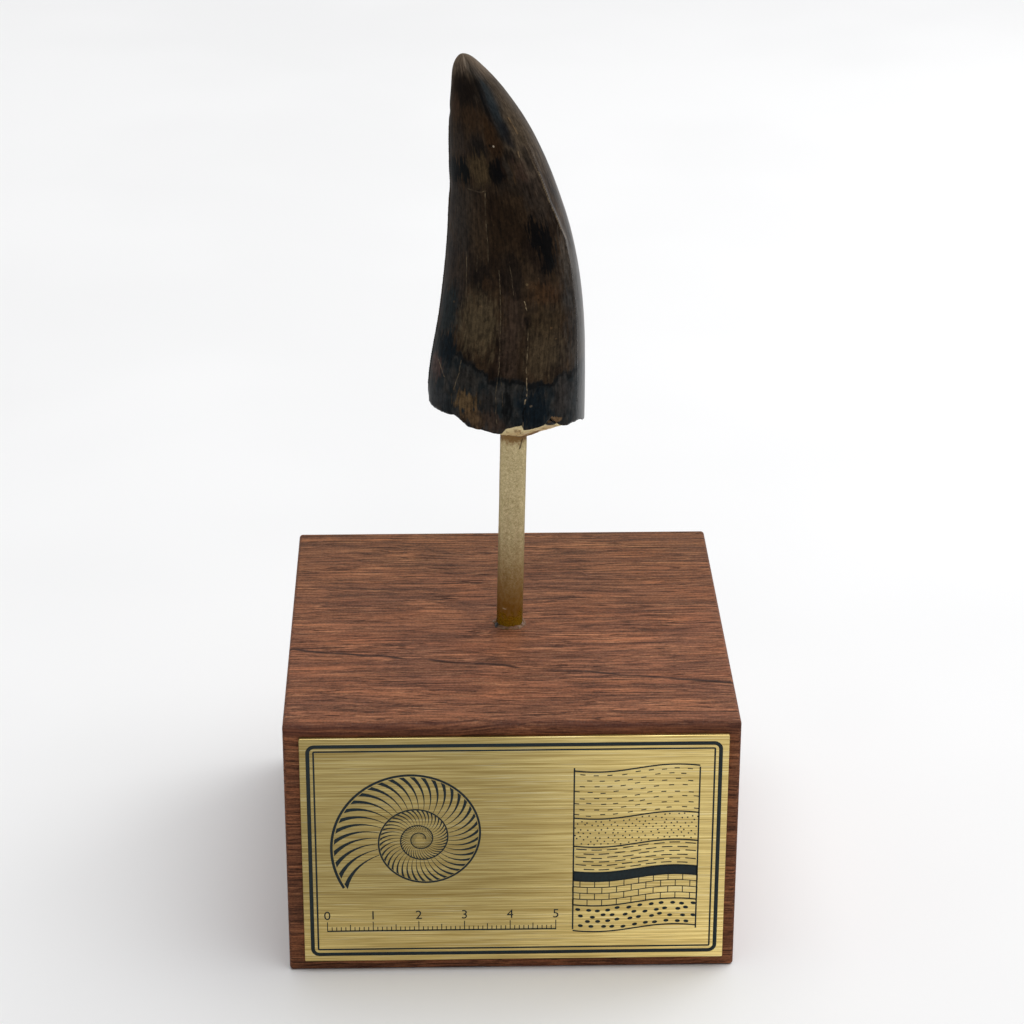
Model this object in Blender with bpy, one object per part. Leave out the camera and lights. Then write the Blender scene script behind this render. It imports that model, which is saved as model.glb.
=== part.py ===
# A fossil tooth held on a rod above a wooden block, with an engraved plate on the block's front.
# Metres, +Z up.  The origin is the middle of the block's underside, and the front faces -Y.

import math

import bmesh
import bpy
from mathutils import Matrix, Vector

MM = 0.001
GAP = 0.3 * MM  # room left between neighbouring pieces

# Wooden block
BLOCK_WIDTH = 98.0 * MM
BLOCK_DEPTH = 98.0 * MM
BLOCK_HEIGHT = 61.0 * MM
FRONT_ROUND = 2.5 * MM  # radius of the upper front edge
EDGE_EASE = 0.8 * MM  # every other edge

# Rod, which leans a little to +X
ROD_RADIUS = 2.95 * MM
ROD_FOOT = Vector((0.6, -0.5, 61.0)) * MM  # where its axis leaves the block
ROD_LEAN = math.radians(1.0)
ROD_BURIED = 25.0 * MM
ROD_TOP = 126.0 * MM
ROD_SIDES = 32

# Bead of glue round the rod's foot
GLUE_WIDTH = 1.2 * MM
GLUE_HEIGHT = 0.9 * MM

# Engraved plate
PLATE_WIDTH = 92.0 * MM
PLATE_HEIGHT = 55.5 * MM
PLATE_THICKNESS = 0.8 * MM
PLATE_MIDDLE_X = 0.45 * MM
PLATE_BOTTOM = 2.85 * MM
PLATE_CHAMFER = 0.25 * MM

# Crown of the tooth, in millimetres: distance below the tip, rear edge X, fore edge X,
# thickness from front to back, and the middle's Y
TIP_HEIGHT = 193.9
CROWN = (
    (0.0, -9.5, -9.5, 0.0, 0.0),
    (2.4, -11.4, -5.5, 5.4, 0.0),
    (7.6, -11.9, -0.8, 8.9, 0.1),
    (15.4, -12.1, 4.4, 12.2, 0.3),
    (27.4, -12.0, 9.9, 16.2, 0.6),
    (41.5, -12.7, 14.3, 19.8, 0.8),
    (57.0, -14.4, 16.6, 22.6, 0.6),
    (72.0, -16.8, 17.1, 24.6, 0.0),
    (84.0, -17.2, 17.0, 25.4, -0.5),
)
REAR_X, FORE_X, THICKNESS, MIDDLE_Y = 1, 2, 3, 4
FORE_FULLNESS = 0.10  # how much thicker the fore half of a section is than the rear half

# The two cutting edges: the rear one at the section's end, the fore one turned to the front
CARINA_HEIGHT = 0.45  # millimetres
CARINA_WIDTH = 7.0  # degrees
FORE_CARINA_AT_TIP = -44.0  # degrees round the section
FORE_CARINA_AT_BASE = -24.0
CARINA_RUN = 80.0  # the distance below the tip over which it turns
WORN_HALF_LENGTH = 8.0  # a section smaller than this has worn edges

# The broken lower edge: degrees round the section from the fore end by way of the back,
# and the height in millimetres
BROKEN_EDGE = (
    (0.0, 111.8),
    (40.0, 112.4),
    (75.0, 111.9),
    (110.0, 113.0),
    (150.0, 113.6),
    (180.0, 116.6),
    (200.0, 115.9),
    (216.0, 115.3),
    (230.0, 115.3),
    (244.0, 113.1),
    (263.0, 112.6),
    (273.0, 112.9),
    (281.0, 114.5),
    (286.0, 113.7),
    (300.0, 114.3),
    (311.0, 115.4),
    (322.0, 113.2),
    (341.0, 112.9),
    (360.0, 111.8),
)

# Hollow under the crown, in millimetres
RIM_WALL = 1.2
RIM_BEVEL = 0.4
HOLLOW_WALL = 6.0
SHOULDER_RISE = 2.5
HOLLOW_TOP = 135.0
HOLLOW_TOP_WALL = 7.5
HOLLOW_DOME = 2.0

# Putty in the hollow, in millimetres
PUTTY_LIP = 0.3  # how far its edge comes down past the broken edge
PUTTY_LIP_FORE = 1.3  # the same at the fore end
PUTTY_MOUTH = 108.3  # where it meets the rod
PUTTY_SAG = 0.9  # how much lower it meets the rod on the fore side
PUTTY_HOLLOW = 0.2  # how far the underside curves in above a straight cone

BACK_COLUMNS = 26
FRONT_COLUMNS = 22
CROWN_RINGS = 32
RING_CROWDING = 1.5  # rings stand closer together towards the tip
UNDERSIDE_RINGS = 5


def clear_scene():
    for thing in list(bpy.data.objects):
        bpy.data.objects.remove(thing, do_unlink=True)


def make_material(name, colour, roughness, metallic=0.0):
    material = bpy.data.materials.new(name)
    material.use_nodes = True
    shader = material.node_tree.nodes["Principled BSDF"]
    shader.inputs["Base Color"].default_value = (*colour, 1.0)
    shader.inputs["Roughness"].default_value = roughness
    shader.inputs["Metallic"].default_value = metallic
    return material


def make_object(name, bm, material, smooth_angle=None):
    bmesh.ops.recalc_face_normals(bm, faces=bm.faces)
    mesh = bpy.data.meshes.new(name)
    bm.to_mesh(mesh)
    bm.free()
    mesh.materials.append(material)
    if smooth_angle is not None:
        mesh.shade_smooth()
        mesh.set_sharp_from_angle(angle=math.radians(smooth_angle))
    thing = bpy.data.objects.new(name, mesh)
    bpy.context.scene.collection.objects.link(thing)
    return thing


# Meshes made of rings

def bridge(bm, upper, lower):
    count = len(upper)
    for i in range(count):
        j = (i + 1) % count
        bm.faces.new((upper[i], lower[i], lower[j], upper[j]))


def close(bm, ring, pole):
    count = len(ring)
    for i in range(count):
        bm.faces.new((pole, ring[i], ring[(i + 1) % count]))


def skin(first_pole, rings, last_pole):
    """A closed mesh: a pole, a run of rings with equal counts, and a second pole."""
    bm = bmesh.new()
    loops = [[bm.verts.new(point) for point in ring] for ring in rings]
    close(bm, loops[0], bm.verts.new(first_pole))
    for upper, lower in zip(loops, loops[1:]):
        bridge(bm, upper, lower)
    close(bm, loops[-1], bm.verts.new(last_pole))
    return bm


# Rod, glue, block and plate

def rod_point(height):
    """Where the rod's axis is at a height."""
    rise = height - ROD_FOOT.z
    return ROD_FOOT + Vector((rise * math.tan(ROD_LEAN), 0.0, rise))


def rod_ring(radius, height, count):
    """A level ring round the rod's axis."""
    centre = rod_point(height)
    turns = [math.tau * i / count for i in range(count)]
    return [centre + Vector((radius * math.cos(a), radius * math.sin(a), 0.0)) for a in turns]


def build_rod(material):
    foot = BLOCK_HEIGHT - ROD_BURIED
    ease = 0.3 * MM
    rings = [
        rod_ring(ROD_RADIUS - ease, ROD_TOP, ROD_SIDES),
        rod_ring(ROD_RADIUS, ROD_TOP - ease, ROD_SIDES),
        rod_ring(ROD_RADIUS, foot + ease, ROD_SIDES),
        rod_ring(ROD_RADIUS - ease, foot, ROD_SIDES),
    ]
    bm = skin(rod_point(ROD_TOP), rings, rod_point(foot))
    return make_object("rod", bm, material, smooth_angle=35)


def build_glue(material):
    bottom = BLOCK_HEIGHT + GAP
    inner = ROD_RADIUS + GAP
    profile = (
        (inner, bottom + GLUE_HEIGHT),
        (inner + 0.35 * GLUE_WIDTH, bottom + 0.8 * GLUE_HEIGHT),
        (inner + 0.8 * GLUE_WIDTH, bottom + 0.4 * GLUE_HEIGHT),
        (inner + GLUE_WIDTH, bottom),
        (inner, bottom),
    )
    bm = bmesh.new()
    loops = [[bm.verts.new(p) for p in rod_ring(r, z, ROD_SIDES)] for r, z in profile]
    for upper, lower in zip(loops, loops[1:] + loops[:1]):
        bridge(bm, upper, lower)
    return make_object("glue", bm, material, smooth_angle=50)


def build_hole_cutter():
    """A guide body that bores the rod's hole."""
    bottom = BLOCK_HEIGHT - ROD_BURIED - GAP
    top = BLOCK_HEIGHT + 2.0 * MM
    radius = ROD_RADIUS + GAP
    rings = [rod_ring(radius, top, ROD_SIDES), rod_ring(radius, bottom, ROD_SIDES)]
    bm = skin(rod_point(top), rings, rod_point(bottom))
    bmesh.ops.recalc_face_normals(bm, faces=bm.faces)
    mesh = bpy.data.meshes.new("hole_cutter")
    bm.to_mesh(mesh)
    bm.free()
    cutter = bpy.data.objects.new("hole_cutter", mesh)
    bpy.context.scene.collection.objects.link(cutter)
    cutter.hide_render = True
    cutter.display_type = "WIRE"
    return cutter


def is_upper_front(edge):
    middle = (edge.verts[0].co + edge.verts[1].co) / 2.0
    return middle.y < 0.0 and abs(middle.x) < MM and middle.z > BLOCK_HEIGHT / 2.0


def build_block(material, cutter):
    size = Vector((BLOCK_WIDTH, BLOCK_DEPTH, BLOCK_HEIGHT))
    place = Matrix.Translation((0.0, 0.0, BLOCK_HEIGHT / 2.0))
    bm = bmesh.new()
    bmesh.ops.create_cube(bm, size=1.0, matrix=place @ Matrix.Diagonal((*size, 1.0)))
    upper_front = [e for e in bm.edges if is_upper_front(e)]
    bmesh.ops.bevel(bm, geom=upper_front, offset=FRONT_ROUND, segments=6, profile=0.5,
                    affect="EDGES")
    block = make_object("block", bm, material, smooth_angle=35)
    ease = block.modifiers.new("eased edges", "BEVEL")
    ease.limit_method = "ANGLE"
    ease.angle_limit = math.radians(50)
    ease.width = EDGE_EASE
    ease.segments = 3
    hole = block.modifiers.new("rod hole", "BOOLEAN")
    hole.operation = "DIFFERENCE"
    hole.solver = "EXACT"
    hole.object = cutter
    return block


def build_plate(material):
    size = Vector((PLATE_WIDTH, PLATE_THICKNESS, PLATE_HEIGHT))
    front = -BLOCK_DEPTH / 2.0 - GAP - PLATE_THICKNESS
    centre = Vector((PLATE_MIDDLE_X, front + PLATE_THICKNESS / 2.0, PLATE_BOTTOM + PLATE_HEIGHT / 2.0))
    bm = bmesh.new()
    place = Matrix.Translation(centre) @ Matrix.Diagonal((*size, 1.0))
    bmesh.ops.create_cube(bm, size=1.0, matrix=place)
    rim = [e for e in bm.edges if max(v.co.y for v in e.verts) < front + PLATE_THICKNESS / 2.0]
    bmesh.ops.bevel(bm, geom=rim, offset=PLATE_CHAMFER, segments=2, profile=0.5, affect="EDGES")
    return make_object("plaque", bm, material)


# Tooth and putty

def crown_value(column, depth):
    """A column of CROWN at a distance below the tip, smooth in the distance's square root."""
    knots = [math.sqrt(row[0]) for row in CROWN]
    values = [row[column] for row in CROWN]
    last = len(knots) - 1
    here = math.sqrt(max(depth, 0.0))
    i = 0
    while i < last - 1 and here > knots[i + 1]:
        i += 1

    def slope(k):
        before = max(k - 1, 0)
        after = min(k + 1, last)
        return (values[after] - values[before]) / (knots[after] - knots[before])

    span = knots[i + 1] - knots[i]
    t = (here - knots[i]) / span
    rise = values[i + 1] - values[i]
    start = slope(i) * span
    end = slope(i + 1) * span
    return values[i] + t * (start + t * ((3.0 * rise - 2.0 * start - end) + t * (start + end - 2.0 * rise)))


def fore_carina(depth):
    """Degrees round the section at which the fore cutting edge stands."""
    share = min(depth / CARINA_RUN, 1.0)
    return FORE_CARINA_AT_TIP + (FORE_CARINA_AT_BASE - FORE_CARINA_AT_TIP) * share


def column_angle(column, depth):
    """Columns start on the fore edge, pass the back to the rear edge, and return by the front."""
    start = fore_carina(depth)
    if column <= BACK_COLUMNS:
        return start + (180.0 - start) * column / BACK_COLUMNS
    return 180.0 + (180.0 + start) * (column - BACK_COLUMNS) / FRONT_COLUMNS


def ridge(angle, depth, half_length):
    """Height of the cutting edges, which the worn tip has lost."""
    away = min(abs(angle - 180.0), abs(angle - fore_carina(depth)))
    fade = min(half_length / WORN_HALF_LENGTH, 1.0)
    return CARINA_HEIGHT * fade * math.exp(-((away / CARINA_WIDTH) ** 2))


def crown_point(angle, depth, inset):
    """A point of the crown's level section, or of the section kept inside it by the inset."""
    rear = crown_value(REAR_X, depth)
    fore = crown_value(FORE_X, depth)
    half_length = (fore - rear) / 2.0
    crest = 0.0 if inset > 0.0 else ridge(angle, depth, half_length)
    turn = math.radians(angle)
    fullness = 1.0 + FORE_FULLNESS * math.cos(turn)
    x = (fore + rear) / 2.0 + (half_length - inset + crest) * math.cos(turn)
    half_thickness = crown_value(THICKNESS, depth) / 2.0 * fullness
    y = crown_value(MIDDLE_Y, depth) + (half_thickness - inset + crest) * math.sin(turn)
    return Vector((x, y, TIP_HEIGHT - depth)) * MM


def broken_edge(angle):
    """Height of the lower edge, round the section."""
    here = angle % 360.0
    for (start, first), (end, second) in zip(BROKEN_EDGE, BROKEN_EDGE[1:]):
        if start <= here <= end:
            return first + (second - first) * (here - start) / (end - start)
    raise ValueError("the broken edge leaves out %.1f degrees" % here)


def rim_angles():
    depth = TIP_HEIGHT - BROKEN_EDGE[0][1]
    return [column_angle(c, depth) for c in range(BACK_COLUMNS + FRONT_COLUMNS)]


def inner_ring(rise, inset, level=None):
    """A ring at a rise above the broken edge, or at one level, inside the crown's surface."""
    ring = []
    for angle in rim_angles():
        height = broken_edge(angle) + rise if level is None else level
        ring.append(crown_point(angle, TIP_HEIGHT - height, inset))
    return ring


def crown_ring(share):
    """A ring of the outer surface: 1 is the broken edge, and 0 would be the tip."""
    ring = []
    for column, rim_angle in enumerate(rim_angles()):
        depth = (TIP_HEIGHT - broken_edge(rim_angle)) * share ** RING_CROWDING
        ring.append(crown_point(column_angle(column, depth), depth, 0.0))
    return ring


def section_middle(level):
    depth = TIP_HEIGHT - level
    x = (crown_value(REAR_X, depth) + crown_value(FORE_X, depth)) / 2.0
    return Vector((x, crown_value(MIDDLE_Y, depth), level)) * MM


def build_tooth(material):
    rings = [crown_ring((k + 1) / CROWN_RINGS) for k in range(CROWN_RINGS)]
    rings.append(inner_ring(RIM_BEVEL, RIM_WALL))
    rings.append(inner_ring(SHOULDER_RISE, HOLLOW_WALL))
    rings.append(inner_ring(0.0, HOLLOW_TOP_WALL, level=HOLLOW_TOP))
    bm = skin(section_middle(TIP_HEIGHT), rings, section_middle(HOLLOW_TOP + HOLLOW_DOME))
    return make_object("tooth", bm, material, smooth_angle=40)


def underside_ring(share):
    """The putty's underside: 0 is its edge, and 1 is the mouth round the rod."""
    edge = inner_ring(0.0, RIM_WALL + GAP / MM)
    mouth = putty_bore_ring(PUTTY_MOUTH * MM, PUTTY_SAG * MM)
    rise = PUTTY_HOLLOW * math.sin(math.pi * share)
    ring = []
    for angle, outer, inner in zip(rim_angles(), edge, mouth):
        toward_fore = max(math.cos(math.radians(angle)), 0.0)
        lip = PUTTY_LIP + (PUTTY_LIP_FORE - PUTTY_LIP) * toward_fore
        lift = rise - lip * (1.0 - share)
        ring.append(outer.lerp(inner, share) + Vector((0.0, 0.0, lift * MM)))
    return ring


def putty_bore_ring(height, sag=0.0):
    """A ring of the bore for the rod, which dips by the sag on the fore side."""
    ring = []
    for angle in rim_angles():
        turn = Vector((math.cos(math.radians(angle)), math.sin(math.radians(angle)), 0.0))
        here = height - sag * turn.x
        ring.append(rod_point(here) + turn * (ROD_RADIUS + GAP))
    return ring


def build_putty(material):
    room = GAP / MM
    rings = [
        inner_ring(0.0, HOLLOW_TOP_WALL + room, level=HOLLOW_TOP - room),
        inner_ring(SHOULDER_RISE - room, HOLLOW_WALL + room),
        inner_ring(RIM_BEVEL - room, RIM_WALL + room),
    ]
    rings += [underside_ring(k / UNDERSIDE_RINGS) for k in range(UNDERSIDE_RINGS + 1)]
    bore_top = ROD_TOP + GAP
    rings.append(putty_bore_ring(bore_top))
    bm = skin(section_middle(HOLLOW_TOP + HOLLOW_DOME - room), rings, rod_point(bore_top))
    return make_object("putty", bm, material, smooth_angle=50)


def main():
    clear_scene()
    wood = make_material("mahogany", (0.13, 0.055, 0.035), 0.45)
    gold_paint = make_material("gold paint", (0.50, 0.40, 0.22), 0.45, 0.7)
    putty_paint = make_material("gold painted putty", (0.56, 0.46, 0.27), 0.65)
    enamel = make_material("dark enamel", (0.035, 0.024, 0.017), 0.28)
    brass = make_material("brushed brass", (0.55, 0.44, 0.21), 0.35, 1.0)
    clear_glue = make_material("clear glue", (0.30, 0.26, 0.22), 0.15)
    build_block(wood, build_hole_cutter())
    build_plate(brass)
    build_rod(gold_paint)
    build_glue(clear_glue)
    build_tooth(enamel)
    build_putty(putty_paint)


main()
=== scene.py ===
import math

import bmesh
import bpy
from mathutils import Matrix, Vector, noise


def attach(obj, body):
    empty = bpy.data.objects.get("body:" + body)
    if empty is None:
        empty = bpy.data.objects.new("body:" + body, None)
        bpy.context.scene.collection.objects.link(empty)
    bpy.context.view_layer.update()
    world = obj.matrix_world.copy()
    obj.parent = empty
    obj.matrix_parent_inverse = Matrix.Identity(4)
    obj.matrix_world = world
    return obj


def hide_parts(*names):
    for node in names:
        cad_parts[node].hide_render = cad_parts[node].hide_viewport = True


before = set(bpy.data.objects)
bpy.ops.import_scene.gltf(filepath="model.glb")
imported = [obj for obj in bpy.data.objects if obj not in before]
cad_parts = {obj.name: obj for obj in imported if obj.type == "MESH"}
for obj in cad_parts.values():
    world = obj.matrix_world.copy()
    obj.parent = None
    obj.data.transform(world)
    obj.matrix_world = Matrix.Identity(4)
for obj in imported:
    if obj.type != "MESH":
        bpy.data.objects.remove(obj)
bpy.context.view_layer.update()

# A fossil tooth on a gold rod, standing on a reddish wooden block with an engraved brass plate.
# Sizes in the dictionaries are millimetres; meshes are made in metres.

mm = 0.001
scene = bpy.context.scene
scene.view_settings.view_transform = "Standard"
scene.view_settings.look = "None"


# small helpers for nodes

def paint(red, green, blue):
    # screen values 0-255 to the linear ones that colour sockets take
    straight = []
    for value in (red, green, blue):
        value /= 255.0
        straight.append(value / 12.92 if value <= 0.04045 else ((value + 0.055) / 1.055) ** 2.4)
    return (straight[0], straight[1], straight[2], 1.0)


def plug(tree, socket, value):
    if isinstance(value, bpy.types.NodeSocket):
        tree.links.new(value, socket)
    else:
        socket.default_value = value


def addNode(tree, kind, inputs=None, **settings):
    node = tree.nodes.new(kind)
    for key, value in settings.items():
        setattr(node, key, value)
    for key, value in (inputs or {}).items():
        plug(tree, node.inputs[key], value)
    return node


def sums(tree, operation, first, second=0.0):
    return addNode(tree, "ShaderNodeMath", {0: first, 1: second}, operation=operation).outputs[0]


def times(tree, first, second):
    return sums(tree, "MULTIPLY", first, second)


def plus(tree, first, second):
    return sums(tree, "ADD", first, second)


def minus(tree, first, second):
    return sums(tree, "SUBTRACT", first, second)


def arrows(tree, operation, first, second=None, scale=None):
    # vector maths; lengths and dot products come out as plain values
    inputs = {0: first}
    if second is not None:
        inputs[1] = second
    if scale is not None:
        inputs["Scale"] = scale
    node = addNode(tree, "ShaderNodeVectorMath", inputs, operation=operation)
    if operation in ("LENGTH", "DOT_PRODUCT", "DISTANCE"):
        return node.outputs["Value"]
    return node.outputs["Vector"]


def axes(tree, vector):
    return addNode(tree, "ShaderNodeSeparateXYZ", {0: vector}).outputs


def arrowFrom(tree, x=0.0, y=0.0, z=0.0):
    return addNode(tree, "ShaderNodeCombineXYZ", {0: x, 1: y, 2: z}).outputs[0]


def spotAxes(tree):
    return axes(tree, addNode(tree, "GeometryNodeInputPosition").outputs[0])


def ramp(tree, value, low, high, start=0.0, end=1.0):
    # smooth step from start at low to end at high
    node = addNode(tree, "ShaderNodeMapRange",
                   {"Value": value, "From Min": low, "From Max": high, "To Min": start, "To Max": end},
                   interpolation_type="SMOOTHSTEP")
    return node.outputs["Result"]


def blend(tree, share, under, over, kind="MIX"):
    node = addNode(tree, "ShaderNodeMix", {0: share, 6: under, 7: over}, data_type="RGBA", blend_type=kind)
    return node.outputs[2]


def lay(tree, colour, mask, share, tint):
    # a tint laid over a colour where the mask is
    return blend(tree, times(tree, mask, share), colour, paint(*tint))


def sway(tree, share, amount):
    # a share from 0 to 1 as a push to either side
    return times(tree, minus(tree, share, 0.5), amount)


def stack(tree, first, *others):
    for other in others:
        first = plus(tree, first, other)
    return first


def realized(tree, geometry):
    return addNode(tree, "GeometryNodeRealizeInstances", {"Geometry": geometry}).outputs[0]


def coated(tree, geometry, finish):
    return addNode(tree, "GeometryNodeSetMaterial", {"Geometry": geometry, "Material": finish}).outputs[0]


def together(tree, *geometries):
    both = addNode(tree, "GeometryNodeJoinGeometry")
    for geometry in geometries:
        tree.links.new(geometry, both.inputs[0])
    return both.outputs[0]


def scattered(tree, points, instance, **inputs):
    inputs.update(Points=points, Instance=instance)
    return addNode(tree, "GeometryNodeInstanceOnPoints", inputs).outputs[0]


def shifted(tree, geometry, **inputs):
    inputs["Geometry"] = geometry
    return addNode(tree, "GeometryNodeSetPosition", inputs).outputs[0]


def unitGrid(tree, across, up):
    sizes = {"Size X": 1.0, "Size Y": 1.0, "Vertices X": across, "Vertices Y": up}
    return addNode(tree, "GeometryNodeMeshGrid", sizes).outputs[0]


def startTree(name, kind, inputs, outputs):
    tree = bpy.data.node_groups.new(name, kind)
    for label, socketKind, value in inputs:
        socket = tree.interface.new_socket(name=label, in_out="INPUT", socket_type="NodeSocket" + socketKind)
        if value is not None:
            socket.default_value = value
    for label, socketKind in outputs:
        tree.interface.new_socket(name=label, in_out="OUTPUT", socket_type="NodeSocket" + socketKind)
    taken = tree.nodes.new("NodeGroupInput").outputs
    given = tree.nodes.new("NodeGroupOutput").inputs
    return tree, taken, given


def useGroup(tree, group, inputs):
    node = tree.nodes.new("ShaderNodeGroup")
    node.node_tree = group
    for key, value in inputs.items():
        plug(tree, node.inputs[key], value)
    return node.outputs[0]


# effects that several materials share

def makeCloudShade():
    # soft noise; a long Size on one axis turns it into streaks
    tree, taken, given = startTree(
        "cloudShade", "ShaderNodeTree",
        (("Vector", "Vector", None), ("Size", "Vector", (1.0, 1.0, 1.0)), ("Low", "Float", 0.35),
         ("High", "Float", 0.65), ("Seed", "Float", 0.0)),
        (("Share", "Float"),))
    cell = arrows(tree, "DIVIDE", taken["Vector"], taken["Size"])
    pattern = addNode(tree, "ShaderNodeTexNoise",
                      {"Vector": cell, "W": taken["Seed"], "Scale": 1.0, "Detail": 2.0, "Roughness": 0.55},
                      noise_dimensions="4D")
    plug(tree, given["Share"], ramp(tree, pattern.outputs["Fac"], taken["Low"], taken["High"]))
    return tree


def makeWander():
    # pushes a pattern's place about, so that its lines wave and its rims fray
    tree, taken, given = startTree(
        "wander", "ShaderNodeTree",
        (("Vector", "Vector", None), ("Size", "Vector", (5.0, 5.0, 5.0)),
         ("Reach", "Vector", (1.0, 1.0, 1.0)), ("Seed", "Float", 0.0)),
        (("Vector", "Vector"),))
    cell = arrows(tree, "DIVIDE", taken["Vector"], taken["Size"])
    pattern = addNode(tree, "ShaderNodeTexNoise",
                      {"Vector": cell, "W": taken["Seed"], "Scale": 1.0, "Detail": 1.5, "Roughness": 0.5},
                      noise_dimensions="4D")
    push = arrows(tree, "SUBTRACT", pattern.outputs["Color"], (0.5, 0.5, 0.5))
    push = arrows(tree, "MULTIPLY", push, taken["Reach"])
    push = arrows(tree, "SCALE", push, scale=2.0)
    plug(tree, given["Vector"], arrows(tree, "ADD", taken["Vector"], push))
    return tree


def makePatchMask():
    # one stain, worn place or smudge, or a patch of painted shade, highlight or reflection, at a given place
    tree, taken, given = startTree(
        "patchMask", "ShaderNodeTree",
        (("Vector", "Vector", None), ("Centre", "Vector", (0.0, 0.0, 0.0)),
         ("Radius", "Vector", (1.0, 1.0, 1.0)), ("Edge", "Float", 0.4), ("Fray", "Float", 0.0)),
        (("Mask", "Float"),))
    away = arrows(tree, "SUBTRACT", taken["Vector"], taken["Centre"])
    away = arrows(tree, "LENGTH", arrows(tree, "DIVIDE", away, taken["Radius"]))
    away = plus(tree, away, taken["Fray"])
    inside = minus(tree, 1.0, taken["Edge"])
    outside = plus(tree, 1.0, taken["Edge"])
    plug(tree, given["Mask"], ramp(tree, away, inside, outside, 1.0, 0.0))
    return tree


def makeLineMask():
    # one crack, streak or dark line between two points; some are painted shade, highlight or sheen
    tree, taken, given = startTree(
        "lineMask", "ShaderNodeTree",
        (("Vector", "Vector", None), ("Start", "Vector", (0.0, 0.0, 0.0)), ("End", "Vector", (0.0, 0.0, 1.0)),
         ("Width", "Float", 0.3)),
        (("Mask", "Float"),))
    run = arrows(tree, "SUBTRACT", taken["End"], taken["Start"])
    here = arrows(tree, "SUBTRACT", taken["Vector"], taken["Start"])
    along = sums(tree, "DIVIDE", arrows(tree, "DOT_PRODUCT", here, run),
                 arrows(tree, "DOT_PRODUCT", run, run))
    along = sums(tree, "MINIMUM", sums(tree, "MAXIMUM", along, 0.0), 1.0)
    nearest = arrows(tree, "SCALE", run, scale=along)
    away = arrows(tree, "DISTANCE", here, nearest)
    half = times(tree, taken["Width"], 0.5)
    plug(tree, given["Mask"], ramp(tree, away, times(tree, half, 0.3), times(tree, half, 1.5),
                                   1.0, 0.0))
    return tree


def makeGrains():
    # flakes and grit: every grain has a tone of its own
    tree, taken, given = startTree(
        "grains", "ShaderNodeTree",
        (("Vector", "Vector", None), ("Size", "Float", 0.3), ("Low", "Float", 0.0), ("High", "Float", 1.0)),
        (("Tone", "Float"),))
    cell = arrows(tree, "SCALE", taken["Vector"], scale=sums(tree, "DIVIDE", 1.0, taken["Size"]))
    pattern = addNode(tree, "ShaderNodeTexVoronoi", {"Vector": cell, "Scale": 1.0}, feature="F1")
    tone = addNode(tree, "ShaderNodeSeparateColor", {0: pattern.outputs["Color"]})
    plug(tree, given["Tone"], ramp(tree, tone.outputs[0], taken["Low"], taken["High"]))
    return tree


def makeEdgeBand():
    # the arrises of a box: 1 where two of its faces are near
    tree, taken, given = startTree(
        "edgeBand", "ShaderNodeTree",
        (("Vector", "Vector", None), ("Centre", "Vector", (0.0, 0.0, 0.0)),
         ("Half", "Vector", (1.0, 1.0, 1.0)), ("Width", "Float", 1.0)),
        (("Mask", "Float"),))
    away = arrows(tree, "ABSOLUTE", arrows(tree, "SUBTRACT", taken["Vector"], taken["Centre"]))
    room = axes(tree, arrows(tree, "SUBTRACT", taken["Half"], away))
    least = sums(tree, "MINIMUM", sums(tree, "MINIMUM", room[0], room[1]), room[2])
    most = sums(tree, "MAXIMUM", sums(tree, "MAXIMUM", room[0], room[1]), room[2])
    middle = minus(tree, plus(tree, plus(tree, room[0], room[1]), room[2]),
                   plus(tree, least, most))
    plug(tree, given["Mask"], ramp(tree, middle, 0.0, taken["Width"], 1.0, 0.0))
    return tree


def makeSettledDust():
    # pale dust on what faces up
    tree, taken, given = startTree(
        "settledDust", "ShaderNodeTree",
        (("Vector", "Vector", None), ("Normal", "Vector", None), ("Size", "Float", 0.5),
         ("Amount", "Float", 0.3)),
        (("Mask", "Float"),))
    up = axes(tree, taken["Normal"])[2]
    pattern = addNode(tree, "ShaderNodeTexNoise",
                      {"Vector": taken["Vector"], "Scale": sums(tree, "DIVIDE", 1.0, taken["Size"]),
                       "Detail": 3.0})
    speck = ramp(tree, pattern.outputs["Fac"], 0.5, 0.75)
    shelf = ramp(tree, up, 0.3, 0.9)
    plug(tree, given["Mask"], times(tree, times(tree, speck, shelf), taken["Amount"]))
    return tree


cloudShade = makeCloudShade()
wander = makeWander()
patchMask = makePatchMask()
lineMask = makeLineMask()
grains = makeGrains()
edgeBand = makeEdgeBand()
settledDust = makeSettledDust()
print("shared effects ready")


def startMaterial(name):
    material = bpy.data.materials.new(name)
    material.use_nodes = True
    tree = material.node_tree
    tree.nodes.clear()
    shader = addNode(tree, "ShaderNodeBsdfPrincipled")
    output = addNode(tree, "ShaderNodeOutputMaterial")
    tree.links.new(shader.outputs[0], output.inputs["Surface"])
    coordinates = addNode(tree, "ShaderNodeTexCoord")
    place = addNode(tree, "ShaderNodeMapping", {"Vector": coordinates.outputs["Object"],
                                                "Scale": (1000.0, 1000.0, 1000.0)})
    return material, tree, shader, place.outputs[0]


def shade(tree, vector, size, low=0.35, high=0.65, seed=0.0):
    values = {"Vector": vector, "Size": size, "Low": low, "High": high, "Seed": seed}
    return useGroup(tree, cloudShade, values)


def wandered(tree, vector, size, reach, seed=0.0):
    return useGroup(tree, wander, {"Vector": vector, "Size": size, "Reach": reach, "Seed": seed})


def patchAt(tree, vector, centre, radius, edge=0.4, fray=0.0):
    values = {"Vector": vector, "Centre": centre, "Radius": radius, "Edge": edge, "Fray": fray}
    return useGroup(tree, patchMask, values)


def lineAt(tree, vector, start, end, width):
    return useGroup(tree, lineMask, {"Vector": vector, "Start": start, "End": end, "Width": width})


def relief(tree, shader, height, distance, strength=1.0):
    bump = addNode(tree, "ShaderNodeBump",
                   {"Height": height, "Distance": distance * mm, "Strength": strength})
    plug(tree, shader.inputs["Normal"], bump.outputs[0])


# small helpers for meshes

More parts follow.
